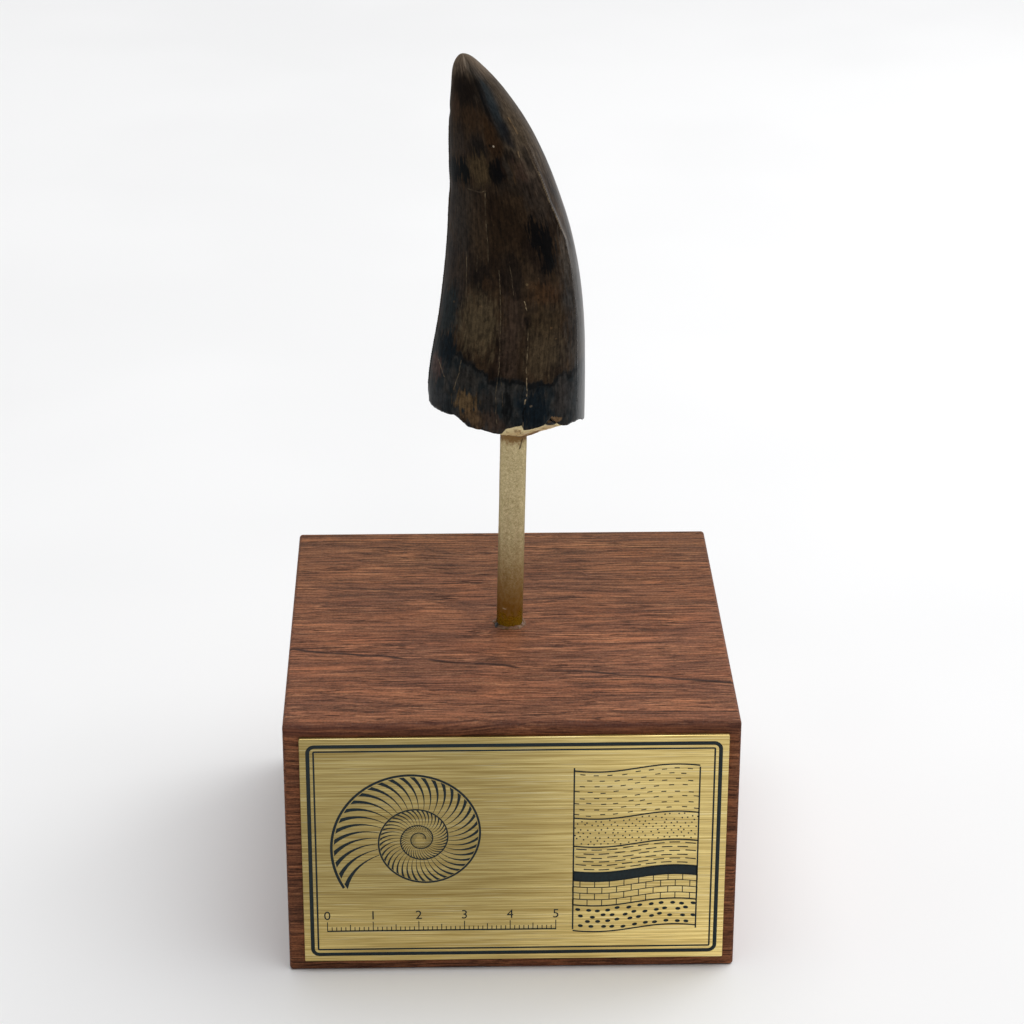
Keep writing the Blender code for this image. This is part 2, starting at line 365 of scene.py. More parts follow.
def placed(name, data):
    piece = bpy.data.objects.new(name, data)
    scene.collection.objects.link(piece)
    return piece


def pieceFromPoints(name, points, faces, smooth=True):
    mesh = bpy.data.meshes.new(name)
    mesh.from_pydata([(x * mm, y * mm, z * mm) for x, y, z in points], [], faces)
    if smooth:
        mesh.shade_smooth()
    mesh.update()
    piece = placed(name, mesh)
    return piece


def freeze(piece):
    # swaps the live modifiers for the plain mesh that they give
    evaluated = piece.evaluated_get(bpy.context.evaluated_depsgraph_get())
    mesh = bpy.data.meshes.new_from_object(evaluated)
    piece.modifiers.clear()
    spent = piece.data
    piece.data = mesh
    bpy.data.meshes.remove(spent)
    mesh.name = piece.name
    return piece


def faceOutwards(piece, mergeWithin=0.0):
    shell = bmesh.new()
    shell.from_mesh(piece.data)
    if mergeWithin:
        bmesh.ops.remove_doubles(shell, verts=shell.verts, dist=mergeWithin)
    bmesh.ops.recalc_face_normals(shell, faces=shell.faces)
    shell.to_mesh(piece.data)
    shell.free()


def addTree(piece, tree, values):
    modifier = piece.modifiers.new(tree.name, "NODES")
    modifier.node_group = tree
    for item in tree.interface.items_tree:
        if item.item_type == "SOCKET" and item.in_out == "INPUT" and item.name in values:
            modifier[item.identifier] = values[item.name]
    return modifier


def discard(piece):
    mesh = piece.data
    bpy.data.objects.remove(piece)
    bpy.data.meshes.remove(mesh)


def joined(name, pieces):
    # one mesh out of several, each keeping its own finish
    mesh = bpy.data.meshes.new(name)
    shell = bmesh.new()
    for piece in pieces:
        for material in piece.data.materials:
            if material and material.name not in mesh.materials:
                mesh.materials.append(material)
    for piece in pieces:
        first = len(shell.faces)
        shell.from_mesh(piece.data)
        shell.faces.ensure_lookup_table()
        for face in shell.faces[first:]:
            own = piece.data.materials[face.material_index]
            face.material_index = mesh.materials.find(own.name)
    shell.to_mesh(mesh)
    shell.free()
    whole = placed(name, mesh)
    for piece in pieces:
        discard(piece)
    return whole


def finishPiece(piece, node):
    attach(piece, "root")
    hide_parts(node)
    print("made", piece.name, len(piece.data.polygons), "faces")


# relief that follows a surface: slow swells and finer ripples along the normals

def makeSurfaceRelief():
    tree, taken, given = startTree(
        "surfaceRelief", "GeometryNodeTree",
        (("Geometry", "Geometry", None), ("Swell", "Float", 0.0001),
         ("Swell Size", "Vector", (0.01, 0.01, 0.01)), ("Ripple", "Float", 0.00003),
         ("Ripple Size", "Vector", (0.001, 0.001, 0.001)), ("Seed", "Float", 0.0),
         ("Finish", "Material", None)),
        (("Geometry", "Geometry"),))
    place = addNode(tree, "GeometryNodeInputPosition").outputs[0]
    lift = None
    for height, size, detail in (("Swell", "Swell Size", 2.0), ("Ripple", "Ripple Size", 3.0)):
        cell = arrows(tree, "DIVIDE", place, taken[size])
        pattern = addNode(tree, "ShaderNodeTexNoise", {"Vector": cell, "W": taken["Seed"], "Scale": 1.0,
                                                       "Detail": detail}, noise_dimensions="4D")
        part = times(tree, minus(tree, pattern.outputs[0], 0.5), times(tree, taken[height], 2.0))
        lift = part if lift is None else plus(tree, lift, part)
    share = addNode(tree, "GeometryNodeInputNamedAttribute", {"Name": "reliefShare"}, data_type="FLOAT")
    lift = times(tree, lift, share.outputs[0])
    normal = addNode(tree, "GeometryNodeInputNormal").outputs[0]
    moved = shifted(tree, taken["Geometry"], Offset=arrows(tree, "SCALE", normal, scale=lift))
    plug(tree, given["Geometry"], coated(tree, realized(tree, moved), taken["Finish"]))
    return tree


surfaceRelief = makeSurfaceRelief()


def roughen(piece, shares, style, finish):
    # style holds a seed, and for the swell and the ripple their height and their length on X, Y and Z
    attribute = piece.data.attributes.new("reliefShare", "FLOAT", "POINT")
    attribute.data.foreach_set("value", shares)
    values = {"Seed": style["seed"], "Finish": finish}
    for label, (height, *size) in (("Swell", style["swell"]), ("Ripple", style["ripple"])):
        values[label] = height * mm
        values[label + " Size"] = [length * mm for length in size]
    addTree(piece, surfaceRelief, values)


# tooth

crown = {
    "tipHeight": 193.9,
    # distance below the tip, rear edge, fore edge, thickness, and the middle's Y
    "stations": (
        (0.0, -9.5, -9.5, 0.0, 0.0), (2.4, -11.4, -5.5, 5.4, 0.0), (7.6, -11.9, -0.8, 8.9, 0.1),
        (15.4, -12.35, 4.4, 12.2, 0.3), (27.4, -12.4, 9.9, 16.2, 0.6), (41.5, -12.95, 14.3, 19.8, 0.8),
        (57.0, -14.65, 16.6, 22.6, 0.6), (72.0, -17.1, 17.1, 24.6, 0.0), (84.0, -17.4, 17.0, 25.4, -0.5)),
    "foreFullness": 0.10,  # how much thicker the fore half of a section is
    "rearPower": 2.2, "rearRoot": 1.35,  # how the rear half narrows to its edge; 2 and 2 is an ellipse
    "narrowRun": 30.0,  # it does so from this far below the tip
    "foreFlat": 0.3,  # how flat the strip between the fore cutting edge and the front is
    "foreFlatRun": (16.0, 34.0),
    "foreFlatEnd": 6.0,
    "ridgeHeight": 0.32,  # the two cutting edges
    "ridgeWidth": 4.0,  # degrees
    "wornHalfLength": 8.0,  # below this half length the edges fade out
    # the fore cutting edge: distance below the tip, degrees round the section
    "foreRidge": ((0.0, -30.0), (12.0, -36.0), (25.0, -40.0), (31.0, -39.0), (36.0, -34.0), (40.0, -29.0),
                  (53.0, -28.0), (64.0, -29.0), (84.0, -27.0)),
    # broken lower edge: degrees round the section, height
    "brokenEdge": ((0, 111.8), (18, 112.2), (40, 112.4), (57, 112.0), (75, 111.9), (92, 112.7), (110, 113.0),
                   (128, 113.1), (150, 113.6), (168, 114.9), (182, 115.9), (192, 115.6), (199, 115.3),
                   (207, 115.15), (214, 115.0), (221, 115.1), (227, 115.4), (231, 115.0), (234, 114.5),
                   (237, 114.0), (239, 113.5), (250, 113.3), (256, 113.1), (264, 112.7), (266, 113.0),
                   (269, 114.0), (275, 114.4), (280.2, 114.7), (281.2, 113.6), (289, 113.8), (294, 114.1),
                   (297.5, 114.5), (299.5, 115.0), (303, 115.8), (305.5, 115.4), (309.5, 114.0), (314, 113.5),
                   (319, 113.2), (326, 113.4), (337, 113.2), (345, 112.4), (352, 111.9), (360, 111.8)),
    "edgeRoughness": 0.16,
    # small dents: degrees, distance below the tip, reach, depth
    "dents": ((182, 78.4, 1.7, 0.50), (181, 12.6, 1.1, 0.16), (180, 28.5, 2.6, 0.22),
              (188, 30.5, 2.2, 0.10), (325, 38.0, 2.0, 0.12), (333, 41.0, 2.6, 0.14),
              (292, 7.5, 1.6, 0.10), (262, 52.0, 5.0, 0.10), (300, 66.0, 6.0, 0.10),
              (225, 60.0, 6.0, 0.12), (60, 30.0, 4.0, 0.15), (120, 52.0, 5.0, 0.14), (85, 70.0, 6.0, 0.12)),
    "columns": 252,
    "rings": 300,
    # the broken face, from outside in: inset, rise above the edge, crumbling
    "brokenFace": ((0.35, 0.12, 0.1), (0.9, 0.30, 0.5), (1.5, 0.25, 0.3), (3.2, 1.4, 0.2)),
    "hollow": ((5.2, 118.5), (6.0, 123.0), (7.5, 135.0)),  # inset, height
    "roofDepth": 57.0, "roofRise": 2.0,
    "relief": {"seed": 4.0, "swell": (0.10, 6, 6, 14), "ripple": (0.035, 1.4, 1.4, 9)},
    "denticles": {"Spacing": 0.55, "Length": 0.44, "Height": 0.20, "Thickness": 0.55},
}


def alongCrown(column, depth):
    # smooth curve through one column of the stations, over the square root of the distance below the tip
    stations = crown["stations"]
    knots = [math.sqrt(station[0]) for station in stations]
    values = [station[column] for station in stations]
    last = len(knots) - 1
    place = math.sqrt(max(depth, 0.0))
    index = 0
    while index < last - 1 and place > knots[index + 1]:
        index += 1

    def slope(knot):
        before = max(knot - 1, 0)
        after = min(knot + 1, last)
        return (values[after] - values[before]) / (knots[after] - knots[before])

    span = knots[index + 1] - knots[index]
    share = (place - knots[index]) / span
    return ((1 + 2 * share) * (1 - share) ** 2 * values[index]
            + share * (1 - share) ** 2 * span * slope(index)
            + share ** 2 * (3 - 2 * share) * values[index + 1]
            + share ** 2 * (share - 1) * span * slope(index + 1))


def between(table, place):
    # straight lines through a table of (place, value)
    for (start, low), (end, high) in zip(table, table[1:]):
        if place <= end:
            return low + (high - low) * (place - start) / (end - start)
    return table[-1][1]


def foreRidgeAngle(depth):
    return between(crown["foreRidge"], min(max(depth, 0.0), crown["stations"][-1][0]))


def turnBetween(first, second):
    return abs((first - second + 180.0) % 360.0 - 180.0)


def sectionPoint(angle, depth):
    # the section's outline inside a box from -1 to 1: X to the fore edge, Y to the back
    turn = math.radians(angle)
    across = math.cos(turn)
    if across < 0:
        share = min(depth / crown["narrowRun"], 1.0)
        power = 2.0 + (crown["rearPower"] - 2.0) * share
        root = 2.0 + (crown["rearRoot"] - 2.0) * share
        return across, math.copysign(max(1.0 - abs(across) ** power, 0.0) ** (1.0 / root), math.sin(turn))
    place = (across, math.sin(turn))
    start = foreRidgeAngle(depth)
    span = crown["foreFlatEnd"] - start
    along = ((angle - start) % 360.0) / span
    if along < 1.0:
        first, last = crown["foreFlatRun"]
        flat = crown["foreFlat"] * min(max((depth - first) / (last - first), 0.0), 1.0)
        flat *= min(max((50.0 - depth) / 14.0, 0.0), 1.0)
        ends = [math.radians(end) for end in (start, crown["foreFlatEnd"])]
        ends = [(math.cos(end), math.sin(end)) for end in ends]
        chord = [low + (high - low) * along for low, high in zip(*ends)]
        place = [here + (there - here) * flat for here, there in zip(place, chord)]
    return place[0], place[1]


def crownPoint(angle, depth, inset=0.0, plain=False):
    rear, front, thickness, middle = (alongCrown(column, depth) for column in (1, 2, 3, 4))
    halfLength = (front - rear) / 2
    crest = 0.0
    if inset == 0.0 and not plain:
        worn = min(halfLength / crown["wornHalfLength"], 1.0)
        fore = min(max((depth - 15.0) / 14.0, 0.0), 1.0) * min(max((50.0 - depth) / 14.0, 0.1), 1.0)
        for ridge, sharpness in ((180.0, worn * 0.35), (foreRidgeAngle(depth), worn * fore)):
            away = turnBetween(angle, ridge) / crown["ridgeWidth"]
            crest += crown["ridgeHeight"] * sharpness * math.exp(-away ** 2)
        for turn, below, reach, sink in crown["dents"]:
            away = math.hypot(math.radians(turnBetween(angle, turn)) * max(halfLength, 4.0), depth - below)
            if away < reach * 3:
                crest -= sink * math.exp(-(away / reach) ** 2)
    across, out = sectionPoint(angle, depth)
    x = (rear + front) / 2 + (halfLength - inset + crest) * across
    y = middle + (thickness / 2 * (1 + crown["foreFullness"] * across) - inset + crest) * out
    return Vector((x, y, crown["tipHeight"] - depth))


def brokenHeight(angle):
    turn = angle % 360.0
    around = (math.cos(math.radians(turn)), math.sin(math.radians(turn)))
    rough = noise.noise(Vector((around[0] * 14.0, around[1] * 14.0, 3.7)))
    fine = noise.noise(Vector((around[0] * 37.0, around[1] * 37.0, 8.1)))
    return between(crown["brokenEdge"], turn) + crown["edgeRoughness"] * (rough + 0.6 * fine)


flowRadius = 12.0  # the crown unrolled on a drum of this radius, in millimetres


def flowPoint(angle, depth):
    turn = math.radians(angle)
    return Vector((flowRadius * math.cos(turn), flowRadius * math.sin(turn), depth))


def flowAt(x, z):
    # the front of the crown at a place seen square on
    depth = crown["tipHeight"] - z
    rear = alongCrown(1, depth)
    fore = alongCrown(2, depth)
    across = min(max((x - (rear + fore) / 2) / ((fore - rear) / 2), -1.0), 1.0)
    return 360.0 - math.degrees(math.acos(across)), depth


def makeCrown(finish):
    columns = crown["columns"]
    rings = crown["rings"]
    angles = [360.0 * column / columns for column in range(columns)]
    edges = [brokenHeight(angle) for angle in angles]
    points = [crownPoint(0.0, 0.0)]
    flows = [(0.0, 0.0, 0.0)]
    shares = [0.0]

    def addRing(places, flow, share):
        first = len(points)
        points.extend(places)
        flows.extend(flow)
        shares.extend([share] * columns)
        return first

    starts = []
    for ring in range(1, rings + 1):
        depths = [(crown["tipHeight"] - edge) * (ring / rings) ** 1.5 for edge in edges]
        below = sum(depths) / columns
        starts.append(addRing([crownPoint(angle, depth) for angle, depth in zip(angles, depths)],
                              [flowPoint(angle, depth) for angle, depth in zip(angles, depths)],
                              min(max((below - 1.5) / 6.0, 0.0), 1.0)))
    # the broken face, then the hollow above it
    for inset, lift, crumble in crown["brokenFace"]:
        places = []
        for angle, edge in zip(angles, edges):
            spot = crownPoint(angle, crown["tipHeight"] - edge, inset)
            grit = noise.noise(Vector((spot.x * 1.3, spot.y * 1.3, inset)))
            spot.z = edge + lift + crumble * grit
            places.append(spot)
        flow = [flowPoint(angle, crown["tipHeight"] - edge) for angle, edge in zip(angles, edges)]
        starts.append(addRing(places, flow, 0.0))
    for inset, height in crown["hollow"]:
        depth = crown["tipHeight"] - height
        starts.append(addRing([crownPoint(angle, depth, inset) for angle in angles],
                              [flowPoint(angle, depth) for angle in angles], 0.0))
    top = len(points)
    inset, height = crown["hollow"][-1]
    height += crown["roofRise"]
    roof = crownPoint(0.0, crown["tipHeight"] - height, inset)
    below = crown["roofDepth"]
    points.append(Vector(((alongCrown(1, below) + alongCrown(2, below)) / 2, roof.y, height)))
    flows.append((0.0, 0.0, below))
    shares.append(0.0)

    faces = [(0, starts[0] + column, starts[0] + (column + 1) % columns) for column in range(columns)]
    for upper, lower in zip(starts, starts[1:]):
        for column in range(columns):
            after = (column + 1) % columns
            faces.append((upper + column, lower + column, lower + after, upper + after))
    for column in range(columns):
        faces.append((starts[-1] + column, top, starts[-1] + (column + 1) % columns))
    piece = pieceFromPoints("toothCrown", points, faces)
    faceOutwards(piece)
    attribute = piece.data.attributes.new("crownFlow", "FLOAT_VECTOR", "POINT")
    attribute.data.foreach_set("vector", [value for flow in flows for value in flow])
    roughen(piece, shares, crown["relief"], finish)
    return piece


def makeCarinaPath(name, angleAt, first, last):
    # points along a cutting edge, each knowing which way is out
    count = 160
    points = []
    outward = []
    flows = []
    for index in range(count):
        depth = first + (last - first) * index / (count - 1)
        angle = angleAt(depth)
        spot = crownPoint(angle, depth)
        ahead = crownPoint(angle, depth, plain=True)
        core = crownPoint(angle, depth, inset=1.0)
        points.append(spot)
        outward.extend((ahead - core).normalized())
        flows.extend(flowPoint(angle, depth))
    mesh = bpy.data.meshes.new(name)
    mesh.from_pydata([point * mm for point in points], [(index, index + 1) for index in range(count - 1)], [])
    for label, values in (("outward", outward), ("crownFlow", flows)):
        attribute = mesh.attributes.new(label, "FLOAT_VECTOR", "POINT")
        attribute.data.foreach_set("vector", values)
    path = placed(name, mesh)
    return path


def makeCarinaTeeth():
    # a row of worn denticles along a cutting edge, joined to the crown
    tree, taken, given = startTree(
        "carinaTeeth", "GeometryNodeTree",
        (("Geometry", "Geometry", None), ("Edge", "Object", None), ("Spacing", "Float", 0.0005),
         ("Length", "Float", 0.0004), ("Height", "Float", 0.0003), ("Thickness", "Float", 0.0005),
         ("Seed", "Int", 0), ("Finish", "Material", None)),
        (("Geometry", "Geometry"),))
    path = addNode(tree, "GeometryNodeObjectInfo", {"Object": taken["Edge"]}).outputs["Geometry"]
    curve = addNode(tree, "GeometryNodeMeshToCurve", {"Mesh": path}).outputs[0]
    spaced = addNode(tree, "GeometryNodeResampleCurve", {"Curve": curve, "Length": taken["Spacing"]},
                     mode="LENGTH").outputs[0]
    out = addNode(tree, "GeometryNodeInputNamedAttribute", {"Name": "outward"}, data_type="FLOAT_VECTOR")
    tangent = addNode(tree, "GeometryNodeInputTangent").outputs[0]
    turned = addNode(tree, "FunctionNodeAlignRotationToVector", {"Vector": out.outputs[0]}, axis="X")
    turned = addNode(tree, "FunctionNodeAlignRotationToVector",
                     {"Rotation": turned.outputs[0], "Vector": tangent}, axis="Z", pivot_axis="X")
    worn = addNode(tree, "FunctionNodeRandomValue", {2: 0.35, 3: 1.0, "Seed": taken["Seed"]},
                   data_type="FLOAT").outputs[1]
    size = arrowFrom(tree, times(tree, taken["Height"], worn), taken["Thickness"], taken["Length"])
    bead = addNode(tree, "GeometryNodeMeshUVSphere", {"Segments": 8, "Rings": 5, "Radius": 0.5}).outputs[0]
    bead = addNode(tree, "GeometryNodeSetShadeSmooth", {"Geometry": bead}).outputs[0]
    row = scattered(tree, spaced, bead, Rotation=turned.outputs[0], Scale=size)
    both = realized(tree, together(tree, row, taken["Geometry"]))
    plug(tree, given["Geometry"], coated(tree, both, taken["Finish"]))
    return tree


# stains and worn places on the front of the crown, and some painted highlight and reflection:
# X, height, half width, half height, colour, strength, softness of the rim
crownPatches = (
    (-9.4, 159.5, 2.6, 7.0, (46, 41, 36), 0.65, 0.5),
    (-12.4, 147.0, 2.6, 12.0, (44, 39, 36), 0.55, 0.6),
    # painted highlight on the worn tip
    (-7.0, 192.6, 6.0, 3.4, (106, 92, 78), 0.8, 0.6),
    (-9.4, 186.6, 2.7, 4.6, (20, 15, 12), 0.9, 0.4),
    (-11.0, 182.8, 0.7, 3.0, (60, 44, 32), 0.7, 0.5),
    (-0.8, 184.6, 2.6, 5.0, (74, 64, 53), 0.8, 0.5),
    (3.0, 176.5, 3.4, 7.0, (77, 66, 53), 0.8, 0.5),
    (6.4, 167.5, 2.4, 7.0, (72, 61, 52), 0.6, 0.5),
    (-6.9, 180.6, 2.8, 3.0, (51, 36, 23), 0.8, 0.5),
    (-3.4, 176.8, 1.7, 3.6, (46, 30, 16), 0.8, 0.4),
    (-6.0, 175.0, 1.4, 3.0, (20, 18, 17), 0.75, 0.5),
    (-10.6, 175.8, 1.6, 3.6, (44, 37, 32), 0.7, 0.5),
    (-6.1, 170.2, 2.4, 3.3, (66, 53, 35), 0.85, 0.35),
    (-11.5, 169.4, 1.3, 2.5, (3, 6, 8), 0.95, 0.25),
    (-9.3, 169.5, 1.0, 2.6, (2, 6, 8), 0.95, 0.25),
    (-2.4, 169.8, 1.6, 3.2, (4, 4, 5), 0.95, 0.25),
    (0.0, 170.4, 0.9, 3.0, (46, 40, 34), 0.8, 0.4),
    (0.8, 173.0, 1.2, 1.6, (18, 14, 12), 0.8, 0.4),
    (2.6, 169.8, 1.2, 2.8, (56, 42, 34), 0.75, 0.4),
    (4.1, 172.6, 0.7, 2.0, (32, 27, 23), 0.75, 0.4),
    (1.4, 166.4, 5.0, 1.8, (34, 28, 23), 0.7, 0.5),
    (-1.2, 158.4, 4.6, 7.6, (32, 21, 11), 0.8, 0.5),
    (-6.4, 156.0, 1.9, 7.0, (54, 42, 30), 0.7, 0.5),
    (7.2, 162.0, 2.8, 3.4, (42, 35, 29), 0.7, 0.5),
    (5.7, 156.4, 1.5, 3.8, (4, 4, 5), 0.95, 0.25),
    (8.0, 154.2, 1.9, 4.6, (5, 5, 6), 0.95, 0.3),
    (8.6, 149.8, 1.3, 2.0, (6, 6, 7), 0.9, 0.3),
    (-5.6, 146.8, 2.6, 2.8, (22, 16, 12), 0.85, 0.35),
    (-4.6, 146.0, 0.9, 1.2, (52, 36, 22), 0.7, 0.4),
    (0.8, 148.4, 2.4, 4.6, (27, 20, 15), 0.8, 0.4),
    (8.0, 143.6, 3.1, 2.2, (70, 47, 27), 0.6, 0.6),
    # painted highlight along the fore cutting edge
    (12.6, 152.0, 1.2, 6.0, (80, 70, 60), 0.7, 0.5),
    # the next two: a grey band along the right edge, painted reflection
    (14.6, 144.0, 2.0, 9.0, (60, 58, 55), 0.5, 0.8),
    (15.4, 129.0, 2.0, 12.0, (57, 57, 56), 0.5, 0.8),
    (-13.0, 137.0, 1.8, 6.2, (25, 33, 35), 0.9, 0.4),
    (-6.6, 136.4, 4.2, 6.6, (76, 64, 46), 0.8, 0.45),
    (0.7, 134.6, 2.4, 8.6, (59, 46, 37), 0.75, 0.45),
    (7.8, 131.0, 4.0, 5.6, (70, 58, 42), 0.75, 0.45),
    (8.4, 138.0, 3.6, 3.6, (62, 49, 33), 0.6, 0.5),
)

# the same, laid over the dark zone at the base
basePatches = (
    (-13.3, 129.6, 1.7, 3.4, (8, 18, 24), 0.95, 0.3),
    (-15.8, 124.6, 1.2, 2.6, (74, 56, 50), 0.8, 0.4),
    (-15.6, 118.4, 1.6, 2.4, (40, 42, 44), 0.7, 0.5),
    (-9.2, 124.0, 2.6, 2.4, (42, 39, 35), 0.7, 0.5),
    (-9.6, 119.2, 2.6, 2.2, (92, 72, 46), 0.8, 0.3),
    (-7.6, 116.2, 2.6, 2.0, (84, 64, 42), 0.8, 0.3),
    (-4.8, 119.0, 1.6, 3.6, (38, 34, 31), 0.7, 0.4),
    (-3.4, 115.2, 2.4, 1.9, (62, 48, 39), 0.75, 0.5),
    (-0.4, 119.2, 1.0, 4.6, (10, 12, 13), 0.85, 0.35),
    (5.6, 118.4, 3.0, 4.0, (12, 21, 27), 0.95, 0.3),
    (12.4, 120.4, 2.0, 4.0, (50, 45, 42), 0.75, 0.5),
    # painted reflection along the right edge
    (15.4, 119.0, 1.8, 6.0, (50, 52, 53), 0.5, 0.8),
    (10.6, 115.1, 0.95, 0.7, (112, 88, 62), 0.95, 0.3),
)

# streaks along the crown, some of them painted highlight and sheen: X and height of both ends, width, colour,
# strength
crownStreaks = (
    # painted highlight on the worn tip
    (-9.2, 193.2, -7.6, 190.8, 1.1, (140, 126, 110), 0.8),
    (-7.6, 190.6, -4.4, 184.4, 2.6, (15, 14, 14), 0.6),
    (-4.4, 184.4, -1.4, 178.0, 2.4, (17, 16, 16), 0.6),
    (-7.6, 190.8, -5.3, 185.2, 0.8, (4, 4, 5), 0.7),
    (-5.3, 185.2, -3.8, 180.8, 0.8, (5, 5, 6), 0.7),
    # the next three: blue-grey streaks below the tip, painted sheen
    (-5.6, 189.4, -3.4, 185.0, 2.6, (46, 49, 51), 0.45),
    (-4.9, 187.8, -2.6, 182.6, 1.5, (47, 54, 57), 0.65),
    (-2.9, 183.4, -1.4, 179.6, 2.2, (34, 39, 42), 0.7),
    (-1.0, 179.4, 0.3, 176.6, 1.7, (21, 22, 25), 0.8),
    (0.0, 181.0, 1.7, 178.4, 0.4, (116, 94, 68), 0.75),
    (1.8, 174.7, 2.2, 173.2, 0.35, (122, 102, 76), 0.8),
)

# small pale or dark spots: X, height, radius, colour, strength
crownSpecks = (
    (-3.1, 175.6, 0.22, (180, 166, 146), 0.9),
    (-3.9, 175.7, 0.32, (4, 4, 4), 0.8),
    (4.9, 119.0, 0.25, (96, 84, 70), 0.7),
    (-6.0, 140.6, 0.3, (96, 78, 56), 0.6),
    (9.2, 136.0, 0.25, (110, 84, 58), 0.6),
    (10.3, 133.4, 0.2, (120, 96, 66), 0.6),
    (3.9, 146.0, 0.25, (104, 86, 60), 0.6),
    (-11.6, 140.0, 0.25, (100, 82, 58), 0.6),
)

# hair cracks, and a painted highlight along the fore cutting edge: X and height of both ends, width, how pale
# the silt in them is, strength
crownCracks = (
    (-8.5, 165.9, -6.0, 165.5, 0.24, 0.3, 0.4),
    (-6.0, 165.5, -4.8, 165.9, 0.26, 0.4, 0.5),
    (-4.9, 165.6, -4.9, 160.7, 0.26, 0.45, 0.7),
    (-4.9, 160.7, -4.4, 154.6, 0.20, 0.4, 0.65),
    (-4.4, 154.6, -4.3, 149.8, 0.18, 0.35, 0.6),
    (-8.8, 151.8, -9.0, 146.0, 0.20, 0.45, 0.7),
    (-9.0, 146.0, -8.8, 141.0, 0.18, 0.35, 0.55),
    (-6.6, 151.6, -6.7, 148.0, 0.16, 0.3, 0.5),
    (-2.0, 149.0, -1.7, 138.3, 0.20, 0.45, 0.6),
    (-1.7, 138.3, -2.1, 126.7, 0.20, 0.42, 0.6),
    (-2.1, 126.7, -2.8, 121.5, 0.18, 0.4, 0.6),
    (-2.8, 121.5, -2.5, 113.4, 0.20, 0.42, 0.6),
    (-1.6, 126.0, -1.2, 119.0, 0.14, 0.35, 0.5),
    (0.2, 150.9, 1.1, 143.6, 0.18, 0.42, 0.6),
    (3.4, 142.2, 3.9, 140.2, 0.26, 0.85, 0.85),
    (4.1, 136.2, 4.2, 131.5, 0.18, 0.6, 0.7),
    (4.1, 131.0, 3.9, 128.6, 0.22, 0.75, 0.8),
    (3.9, 128.0, 3.8, 126.4, 0.26, 0.95, 0.85),
    (3.9, 125.4, 4.0, 122.6, 0.26, 0.92, 0.85),
    (4.0, 122.6, 3.9, 121.4, 0.22, 0.85, 0.8),
    (3.7, 120.6, 3.5, 119.6, 0.34, 1.0, 0.85),
    (3.5, 119.0, 3.1, 117.2, 0.34, 0.0, 0.9),
    (3.1, 116.8, 3.2, 115.8, 0.34, 0.0, 0.9),
    (3.1, 115.6, 3.1, 113.8, 0.26, 0.7, 0.6),
    (-10.2, 128.0, -10.7, 125.0, 0.18, 0.4, 0.6),
    (-10.7, 125.0, -11.8, 121.2, 0.24, 0.5, 0.7),
    (-15.0, 126.3, -13.8, 123.3, 0.22, 0.5, 0.65),
    # the next four trace the fore cutting edge: a pale line there, painted highlight on the ridge
    (5.0, 171.8, 6.3, 169.2, 0.26, 0.45, 0.6),
    (6.3, 169.2, 8.3, 163.5, 0.30, 0.55, 0.7),
    (8.3, 163.5, 10.8, 157.6, 0.26, 0.5, 0.7),
    (10.8, 157.6, 12.6, 154.4, 0.24, 0.58, 0.7),
    (14.4, 141.0, 14.7, 129.0, 0.14, 0.0, 0.6),
    (14.7, 129.0, 15.1, 116.0, 0.14, 0.0, 0.6),
)
crackFilling = ((4, 4, 4), (172, 150, 118))

enamel = {
    "deep": (26, 17, 11),
    "brown": (56, 42, 28),
    "grey": (50, 44, 38),
    "baseZone": (23, 30, 33),
    "baseZoneLight": (52, 50, 47),
    # upper rim of the dark zone: degrees round the section, height
    "baseRim": ((180, 134.0), (200, 131.5), (212, 130.6), (228, 129.3), (239, 128.0), (246, 127.2),
                (252, 125.8), (256, 124.9), (263, 125.1), (270, 124.7), (280, 124.7), (290, 124.2),
                (300, 124.1), (308, 124.8), (317, 125.4), (327, 125.8), (360, 127.0)),
    "rimLow": 110.0, "rimSpan": 40.0,  # the heights that the rim's curve covers
    "seam": (8, 9, 11), "silt": (110, 92, 70), "pit": (8, 6, 5),
    "roughness": 0.36,
    "sheenFacing": 0.04, "sheenGrazing": 0.6,
}


def patchesOver(tree, vector, fray, colour, patches):
    for x, z, halfWidth, halfHeight, tint, strength, edge in patches:
        angle, depth = flowAt(x, z)
        halfLength = (alongCrown(2, depth) - alongCrown(1, depth)) / 2
        spread = max(halfLength * abs(math.sin(math.radians(angle))), halfLength * 0.35)
        reach = halfWidth * flowRadius / spread
        mask = patchAt(tree, vector, flowPoint(angle, depth), (reach, reach, halfHeight), edge, fray)
        colour = lay(tree, colour, mask, strength, tint)
    return colour


def lineFor(tree, vector, x, z, toX, toZ, width):
    angle, depth = flowAt((x + toX) / 2, (z + toZ) / 2)
    halfLength = (alongCrown(2, depth) - alongCrown(1, depth)) / 2
    width *= flowRadius / max(halfLength * abs(math.sin(math.radians(angle))), halfLength * 0.5, 5.0)
    return lineAt(tree, vector, flowPoint(*flowAt(x, z)), flowPoint(*flowAt(toX, toZ)), width)


def streaksOver(tree, vector, colour, streaks):
    for x, z, toX, toZ, width, tint, strength in streaks:
        mask = lineFor(tree, vector, x, z, toX, toZ, width)
        colour = lay(tree, colour, mask, strength, tint)
    return colour


def cracksIn(tree, vector, cracks):
    # how strongly a crack shows here, and how pale its filling is
    marks = 0.0
    pale = 0.0
    for x, z, toX, toZ, width, paleness, strength in cracks:
        mask = lineFor(tree, vector, x, z, toX, toZ, width)
        marks = sums(tree, "MAXIMUM", marks, times(tree, mask, strength))
        pale = addNode(tree, "ShaderNodeMix", {0: mask, 2: pale, 3: paleness}, data_type="FLOAT").outputs[0]
    return marks, pale


